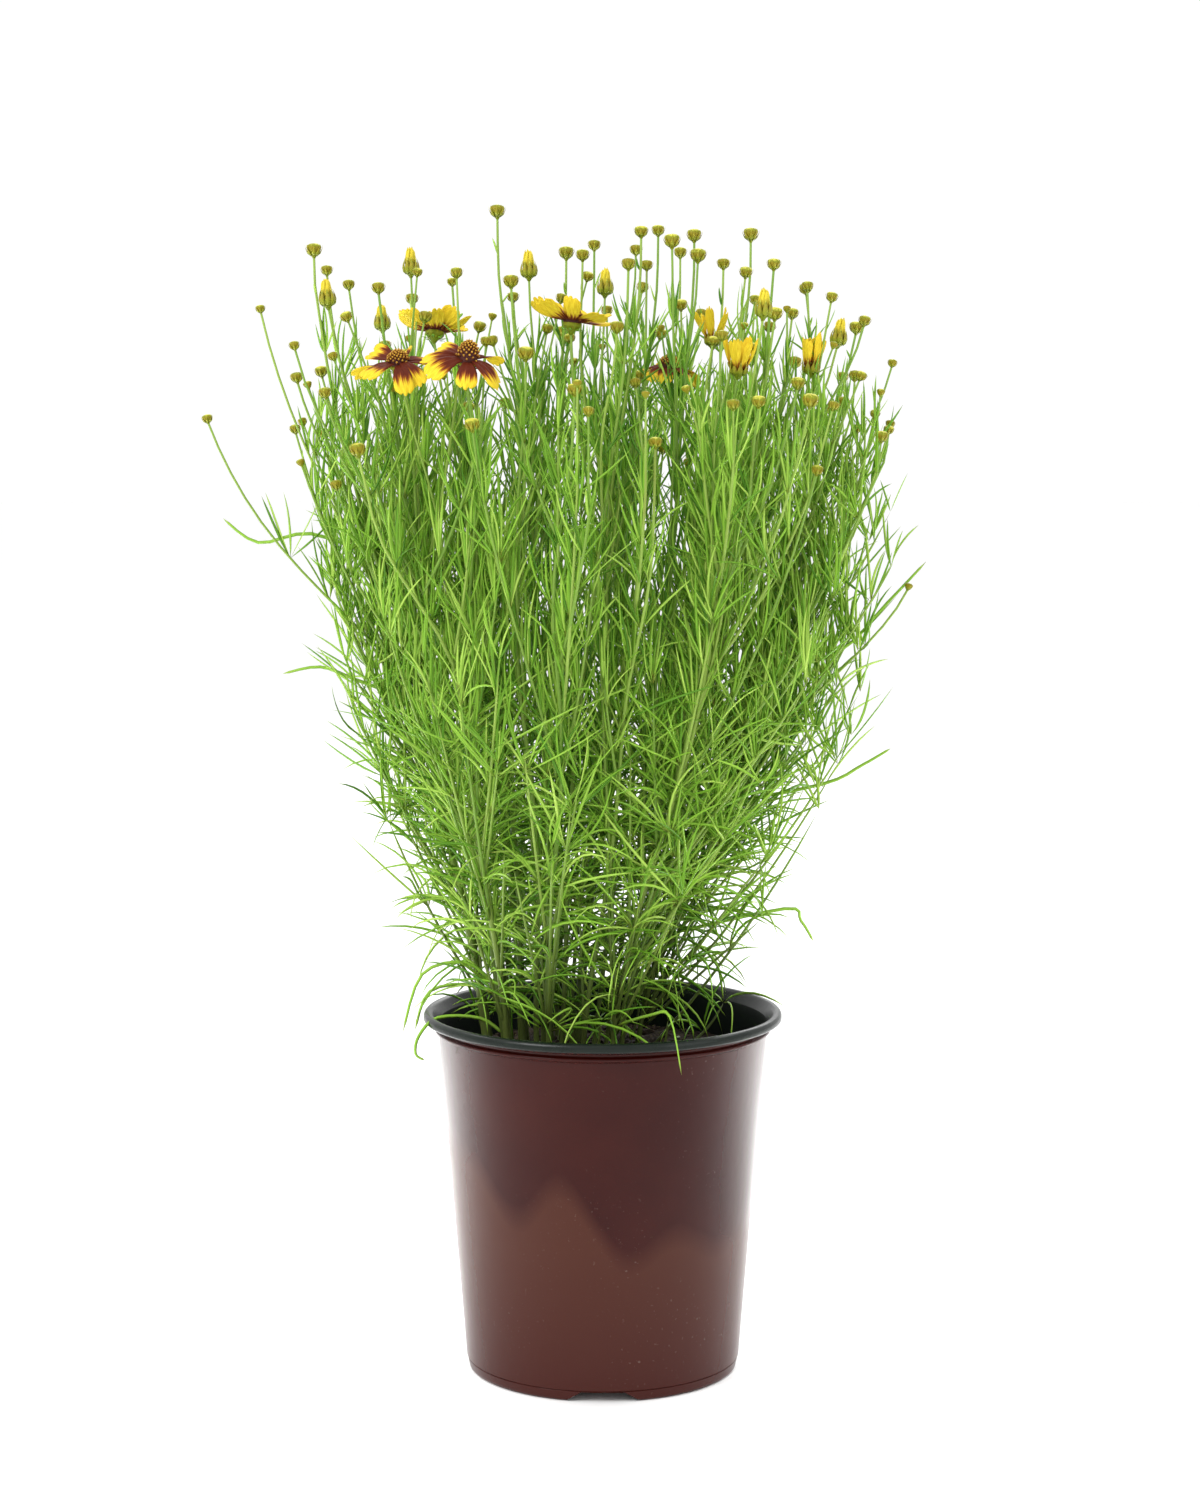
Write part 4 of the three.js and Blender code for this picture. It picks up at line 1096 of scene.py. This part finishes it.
def buildDisc(head, turn, material, rng):
    radius, base, count, profile = (discRule[key] for key in ("radius", "base", "florets", "profile"))
    height = discRule["tallHeight"] if head["number"] == discRule["tallNumber"] else discRule["height"]
    path = onAxis(turn, [base - 1.2] + [base + high * height for high, _ in profile])
    radii = [0] + [wide * radius * 0.86 for _, wide in profile]
    strands = [strand(path, radii, 0, 0.0, 16, along=[0.0] * len(path))]
    for k in range(count):
        share = (k + 0.5) / count
        angle = k * math.pi * (3 - math.sqrt(5))
        lean = math.sqrt(share)
        x, y = math.cos(angle) * lean, math.sin(angle) * lean
        spot = Vector((x * radius * 0.84, y * radius * 0.84, base + height * (1 - share) ** 0.6))
        way = Vector((x, y, 0.9)).normalized()
        reach = rng.uniform(1.3, 1.9)
        points = [turn @ (spot + way * reach * part) for part in (-0.3, 0.0, 0.5, 0.85, 1.0)]
        tone = rng.uniform(0, 0.7)
        strands.append(strand(points, discRule["floretRadii"], 0, tone, 5, along=discRule["floretAlong"]))
    bm = bmesh.new()
    growStrands(bm, strands)
    finishPiece(f"bloomDisc{head['number']}", bm, [material], f"bloom_{head['number']}_disc")


rolledRule = {
    "radius": 3.5, "low": 2.6, "height": 10.2, "petals": 7,
    "profile": [
        (0.0, 0.5), (0.15, 0.72), (0.32, 0.8), (0.5, 0.74), (0.66, 0.56), (0.8, 0.4), (0.92, 0.26), (1.0, 0.0),
    ],
    "petalRadii": [0, 1.0, 1.15, 0.9, 0], "petalAlong": [0.15, 0.35, 0.55, 0.75, 0.95],
}


def buildRolled(head, turn, material, rng):
    radius, low, height, count = (rolledRule[key] for key in ("radius", "low", "height", "petals"))
    path = onAxis(turn, [low - 0.5] + [low + part * height for part, _ in rolledRule["profile"]])
    radii = [0] + [wide * radius for _, wide in rolledRule["profile"]]
    facing, along = rng.uniform(0, 1), [0.1 * k for k in range(len(path))]
    strands = [strand(path, radii, 0, 0.3, 16, 1.0, facing, 0.15, 0.16, along=along)]
    for k in range(count):
        heading = (k + rng.uniform(-0.2, 0.2)) * 2 * math.pi / count
        points = []
        for part in (0.1, 0.3, 0.55, 0.8, 1.0 + rng.uniform(-0.1, 0.08)):
            wide = radius * mix(0.68, 0.36, part)
            angle = heading + 0.9 * part
            points.append(turn @ Vector((math.cos(angle) * wide, math.sin(angle) * wide, low + part * height)))
        tone, along = rng.uniform(0, 0.6), rolledRule["petalAlong"]
        strands.append(strand(points, rolledRule["petalRadii"], 0, tone, 6, 0.5, heading, along=along))
    bm = bmesh.new()
    growStrands(bm, strands)
    finishPiece(f"rolledPetals{head['number']}", bm, [material], f"opening_bud_{head['number']}_rays")


pot = {
    "height": 166.8, "rimRadius": 82.5, "lipDepth": 4.2, "beadRadius": 77.4, "beadHeight": 158.6, "beadDrop": 1.6,
    "shoulderRadius": 75.7, "baseRadius": 62.9, "wall": 1.3, "floor": 1.6, "footStep": 5,
    "notchCount": 4, "notchBottomWidth": 34, "notchTopWidth": 19.5, "notchHeight": 4.7, "notchReach": 18,
    "drainRadius": 4, "turns": 144,
    "burgundy": (0.028, 0.0022, 0.0016), "burgundyLight": (0.042, 0.0050, 0.0030),
    # The two colours before dust, with the wave and edge on the next line, make a lighter brownish lower zone: a
    # painted reflection, darker towards the foot
    "paintedReflectionLight": (0.062, 0.0165, 0.0095), "paintedReflectionFoot": (0.046, 0.0072, 0.0044), "dust": (0.32, 0.24, 0.20),
    "paintedReflectionWave": 0.20, "paintedReflectionEdge": (0.193, 0.181),
    "black": (0.0035, 0.0075, 0.005), "insideLight": (0.006, 0.010, 0.007), "lipLight": (0.012, 0.017, 0.013),
}


def wallRadius(height):
    return mix(pot["baseRadius"], pot["shoulderRadius"], height / (pot["beadHeight"] - pot["beadDrop"]))


def spun(profile, turns):
    bm = bmesh.new()
    verts = [bm.verts.new((radius, 0, height)) for radius, height in profile]
    edges = [bm.edges.new(pair) for pair in zip(verts, verts[1:])]
    circle = {"cent": (0, 0, 0), "axis": (0, 0, 1), "angle": 2 * math.pi}
    bmesh.ops.spin(bm, geom=verts + edges, **circle, steps=turns, use_merge=True)
    bmesh.ops.remove_doubles(bm, verts=bm.verts, dist=0.0001)
    bmesh.ops.recalc_face_normals(bm, faces=bm.faces)
    return bm


def potProfiles():
    rim, bead, lipUnder = pot["height"], pot["beadHeight"], pot["height"] - pot["lipDepth"]
    rimR, beadR, shoulder, base = pot["rimRadius"], pot["beadRadius"], pot["shoulderRadius"], pot["baseRadius"]
    foot, wall, floor = pot["footStep"], pot["wall"], pot["floor"]
    groove = wallRadius(foot)
    outside = [(0, 0), (base - 2.2, 0), (base - 1.1, 0.25), (base - 0.4, 1.0), (base - 0.15, 2.0)]
    outside += [(groove - 0.25, foot - 0.35), (groove - 0.55, foot), (groove, foot + 0.4)]
    outside += [(wallRadius(h) - 0.02, h) for h in (30, 60, 90, 120)]
    outside += [(shoulder, bead - pot["beadDrop"]), (shoulder + 0.5, bead - 1.45), (beadR - 0.45, bead - 0.9)]
    outside += [(beadR, bead - 0.5), (beadR + 0.1, bead), (beadR, bead + 0.45), (beadR - 0.4, bead + 0.9)]
    outside += [(beadR - 1.0, bead + 1.15), (beadR - 1.25, bead + 1.6), (beadR - 1.1, bead + 2.3)]
    outside += [(rimR - 1.6, lipUnder - 0.2), (rimR - 0.5, lipUnder + 0.1), (rimR, lipUnder + 0.7)]
    outside += [(rimR + 0.05, rim - 2.0), (rimR - 0.3, rim - 1.0), (rimR - 1.0, rim - 0.3)]
    outside += [(rimR - 1.9, rim), (rimR - 2.8, rim - 0.1)]
    inside = [(rimR - 3.8, rim - 0.7), (rimR - 4.4, rim - 1.6), (beadR - 1.6, bead + 3.2)]
    inside += [(beadR - 2.1, bead + 2), (beadR - 2.4, bead + 0.4), (shoulder - wall, bead - 1.2)]
    inside += [(wallRadius(floor + 1.5) - wall, floor + 1.5), (base - wall - 1.4, floor), (0, floor)]
    return outside, inside


def wedges(margin, inner, outer):
    half, halfTop = pot["notchBottomWidth"] / 2 + margin, pot["notchTopWidth"] / 2 + margin
    top, low = pot["notchHeight"] + margin, -2
    flare = (half - halfTop) / top
    bm = bmesh.new()
    for k in range(pot["notchCount"]):
        cube = bmesh.ops.create_cube(bm, size=1)["verts"]
        for vert in cube:
            x, y, z = vert.co
            width = halfTop if z > 0 else half - flare * low
            vert.co = (math.copysign(width, x), -inner if y > 0 else -outer, top if z > 0 else low)
        turn = Matrix.Rotation(k * 2 * math.pi / pot["notchCount"], 3, "Z")
        bmesh.ops.rotate(bm, verts=cube, cent=(0, 0, 0), matrix=turn)
    bmesh.ops.recalc_face_normals(bm, faces=bm.faces)
    return bm


def drainHoles(out):
    bm = bmesh.new()
    for k in range(pot["notchCount"]):
        angle = k * 2 * math.pi / pot["notchCount"] - math.pi / 2
        place = Matrix.Translation((out * math.cos(angle), out * math.sin(angle), pot["notchHeight"]))
        size = {"radius1": pot["drainRadius"], "radius2": pot["drainRadius"], "depth": 12}
        bmesh.ops.create_cone(bm, cap_ends=True, segments=24, **size, matrix=place)
    return bm


def combined(bm, other, operation):
    target, tool = makeObject("shape", bm, []), makeObject("tool", other, [])
    cut = target.modifiers.new("cut", "BOOLEAN")
    cut.object, cut.operation, cut.solver = tool, operation, "EXACT"
    bpy.context.view_layer.update()
    mesh = bpy.data.meshes.new_from_object(target.evaluated_get(bpy.context.evaluated_depsgraph_get()))
    result = bmesh.new()
    result.from_mesh(mesh)
    for gone in (target, tool):
        old = gone.data
        bpy.data.objects.remove(gone)
        bpy.data.meshes.remove(old)
    bpy.data.meshes.remove(mesh)
    return result


def buildPot():
    outside, inside = potProfiles()
    shell = spun(outside + inside, pot["turns"])
    base = pot["baseRadius"]
    solid = spun([(0, 0.4), (base - 1.2, 0.4), (wallRadius(20) - 0.6, 20), (0, 20)], pot["turns"])
    inner, outer = base - pot["notchReach"], base + 4
    roofs = combined(wedges(pot["floor"], inner - pot["floor"], outer), solid, "INTERSECT")
    bm = combined(shell, roofs, "UNION")
    bm = combined(bm, wedges(0, inner, outer), "DIFFERENCE")
    bm = combined(bm, drainHoles(inner + pot["drainRadius"] + 2), "DIFFERENCE")
    bmesh.ops.remove_doubles(bm, verts=bm.verts, dist=0.0005)
    rim = pot["height"]
    for face in bm.faces:
        centre = face.calc_center_median()
        out = centre.xy.length
        inward = face.normal.xy.dot(centre.xy) < -0.02
        lip = centre.z > rim - pot["lipDepth"] + 0.1
        dark = (inward and centre.z > pot["floor"]) or (out < wallRadius(centre.z) - 1 and centre.z > 6)
        face.material_index = 2 if lip else (1 if dark else 0)
        face.smooth = True
    for edge in bm.edges:
        if len(edge.link_faces) == 2 and edge.calc_face_angle(0) > 0.6:
            edge.smooth = False
    lining = potInsideMaterial("blackPlastic", 0.5, 0.06, pot["insideLight"])
    lipBand = potInsideMaterial("lipPlastic", 0.26, 0.24, pot["lipLight"])
    finishPiece("nurseryPot", bm, [potMaterial(), lining, lipBand], "pot")
    print("pot built")


def potMaterial():
    material, tree, shader = newMaterial("burgundyPlastic", 0.18, 0.19)
    cloud = steps(tree, objectNoise(tree, 14, 4), 0.35, 0.7)
    ownBurgundy = mixed(tree, cloud, pot["burgundy"], pot["burgundyLight"])
    # Under a wavy line round the pot the colour turns lighter and brownish, darker towards the foot: a painted
    # reflection. That zone is also a little rougher.
    height = objectHeight(tree)
    wave = objectNoise(tree, 12, 1, (1, 1, 0.06))
    paintedReflectionZone = steps(tree, plus(tree, height, times(tree, wave, pot["paintedReflectionWave"])), *pot["paintedReflectionEdge"])
    paintedReflection = mixed(tree, steps(tree, height, 0.0, 0.07), pot["paintedReflectionFoot"], pot["paintedReflectionLight"])
    body = mixed(tree, paintedReflectionZone, ownBurgundy, paintedReflection)
    dust = steps(tree, objectNoise(tree, 620, 2), 0.66, 0.8)
    patches = steps(tree, objectNoise(tree, 22, 3), 0.45, 0.75)
    paint(tree, shader, mixed(tree, times(tree, times(tree, dust, patches), 0.35), body, pot["dust"]))
    scuffs = objectNoise(tree, 60, 4)
    rough = addNode(tree, "ShaderNodeMapRange", {"clamp": True}, Value=scuffs)
    rough.inputs["To Min"].default_value = 0.13
    rough.inputs["To Max"].default_value = 0.22
    rougher = plus(tree, rough.outputs[0], times(tree, paintedReflectionZone, 0.07))
    tree.links.new(rougher, shader.inputs["Roughness"])
    bump(tree, shader, objectNoise(tree, 210, 3), 0.05, 0.001)
    return material


def potInsideMaterial(name, roughness, specular, light):
    material, tree, shader = newMaterial(name, roughness, specular)
    cloud = objectNoise(tree, 60, 4)
    paint(tree, shader, mixed(tree, steps(tree, cloud, 0.4, 0.8), pot["black"], light))
    bump(tree, shader, objectNoise(tree, 300, 3), 0.08, 0.001)
    return material


mixRule = {
    "seed": 77, "rings": 26, "turns": 96, "chips": 380, "perlite": 6, "roughness": 1.3,
    "chipSize": (0.9, 3.2), "perliteSize": (0.8, 1.5),
    "mixColours": [(0.3, (0.006, 0.004, 0.003)), (0.55, (0.022, 0.014, 0.008)), (0.75, (0.06, 0.038, 0.02))],
    "barkColours": [(0.3, (0.008, 0.005, 0.003)), (0.55, (0.028, 0.016, 0.008)), (0.8, (0.07, 0.045, 0.026))],
    "perliteDark": (0.45, 0.44, 0.40), "perliteLight": (0.7, 0.69, 0.66),
}


def buildSoil():
    edge = pot["shoulderRadius"] - pot["wall"] - 0.45
    low = pot["floor"] + 0.3
    wallTop = pot["beadHeight"] - pot["beadDrop"]
    lean = (pot["shoulderRadius"] - pot["baseRadius"]) / wallTop
    topEdge = edge - lean * (wallTop - soil["top"])
    floorEdge = wallRadius(low) - pot["wall"] - 1.9
    ring = [topEdge - 0.3 - (topEdge - 0.3) * k / mixRule["rings"] for k in range(mixRule["rings"] + 1)]
    profile = [(0, low), (floorEdge, low), (floorEdge + 1.5, low + 1.6)] + [(r, soilHeight(r)) for r in ring]
    bm = spun(profile, mixRule["turns"])
    inner = pot["baseRadius"] - pot["notchReach"]
    margin = pot["floor"] + 0.3
    bm = combined(bm, wedges(margin, inner - margin, pot["baseRadius"] + 4), "DIFFERENCE")
    rng = random.Random(mixRule["seed"])
    for vert in bm.verts:
        out = vert.co.xy.length
        if vert.co.z > soil["top"] - 0.5 and out < topEdge - 1.5:
            vert.co.z += rng.uniform(-1, 1) * mixRule["roughness"]
    for number in range(mixRule["chips"] + mixRule["perlite"]):
        out, angle = (topEdge - 4) * math.sqrt(rng.random()), rng.uniform(0, 2 * math.pi)
        bark = number < mixRule["chips"]
        size = rng.uniform(*mixRule["chipSize" if bark else "perliteSize"])
        axis = [rng.uniform(-1, 1) for _ in range(3)]
        turn = Quaternion(axis, rng.uniform(0, 0.9)).to_matrix().to_4x4()
        length, width = size * rng.uniform(1, 1.9), size * rng.uniform(0.5, 1)
        thick = size * rng.uniform(0.3, 0.6) if bark else size * 0.8
        stretch = Matrix.Diagonal((length, width, thick, 1))
        place = Matrix.Translation((out * math.cos(angle), out * math.sin(angle), soilHeight(out) + 0.3))
        matrix = place @ Matrix.Rotation(rng.uniform(0, 6.3), 4, "Z") @ turn @ stretch
        chip = bmesh.ops.create_icosphere(bm, subdivisions=1, radius=1, matrix=matrix)["verts"]
        for vert in chip:
            vert.co += Vector([rng.uniform(-0.2, 0.2) for _ in range(3)]) * size
        for face in {face for vert in chip for face in vert.link_faces}:
            face.material_index = 1 if bark else 2
    finishPiece("pottingMix", bm, [mixMaterial(), barkMaterial(), perliteMaterial()], "soil")
    print("soil built")


def mixMaterial():
    material, tree, shader = newMaterial("pottingMix", 0.9, 0.2)
    grain = objectNoise(tree, 420, 6)
    paint(tree, shader, ramp(tree, grain, mixRule["mixColours"]))
    bump(tree, shader, grain, 0.9, 0.002)
    return material


def barkMaterial():
    material, tree, shader = newMaterial("bark", 0.85, 0.25)
    grain = objectNoise(tree, 260, 5, (1, 1, 2.5))
    paint(tree, shader, ramp(tree, grain, mixRule["barkColours"]))
    bump(tree, shader, grain, 0.8, 0.001)
    return material


def perliteMaterial():
    material, tree, shader = newMaterial("perlite", 0.8, 0.3)
    grain = objectNoise(tree, 800, 4)
    paint(tree, shader, mixed(tree, grain, mixRule["perliteDark"], mixRule["perliteLight"]))
    bump(tree, shader, grain, 0.8, 0.0005)
    return material


makeCamera()
makeStudio()
print("camera and studio built")
buildPot()
buildSoil()
plant = buildStems()
buildBlooms(plant)

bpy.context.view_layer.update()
meshes = [one.data for one in scene.objects if one.type == "MESH" and not one.hide_render]
print("triangles:", sum(len(poly.vertices) - 2 for mesh in meshes for poly in mesh.polygons))
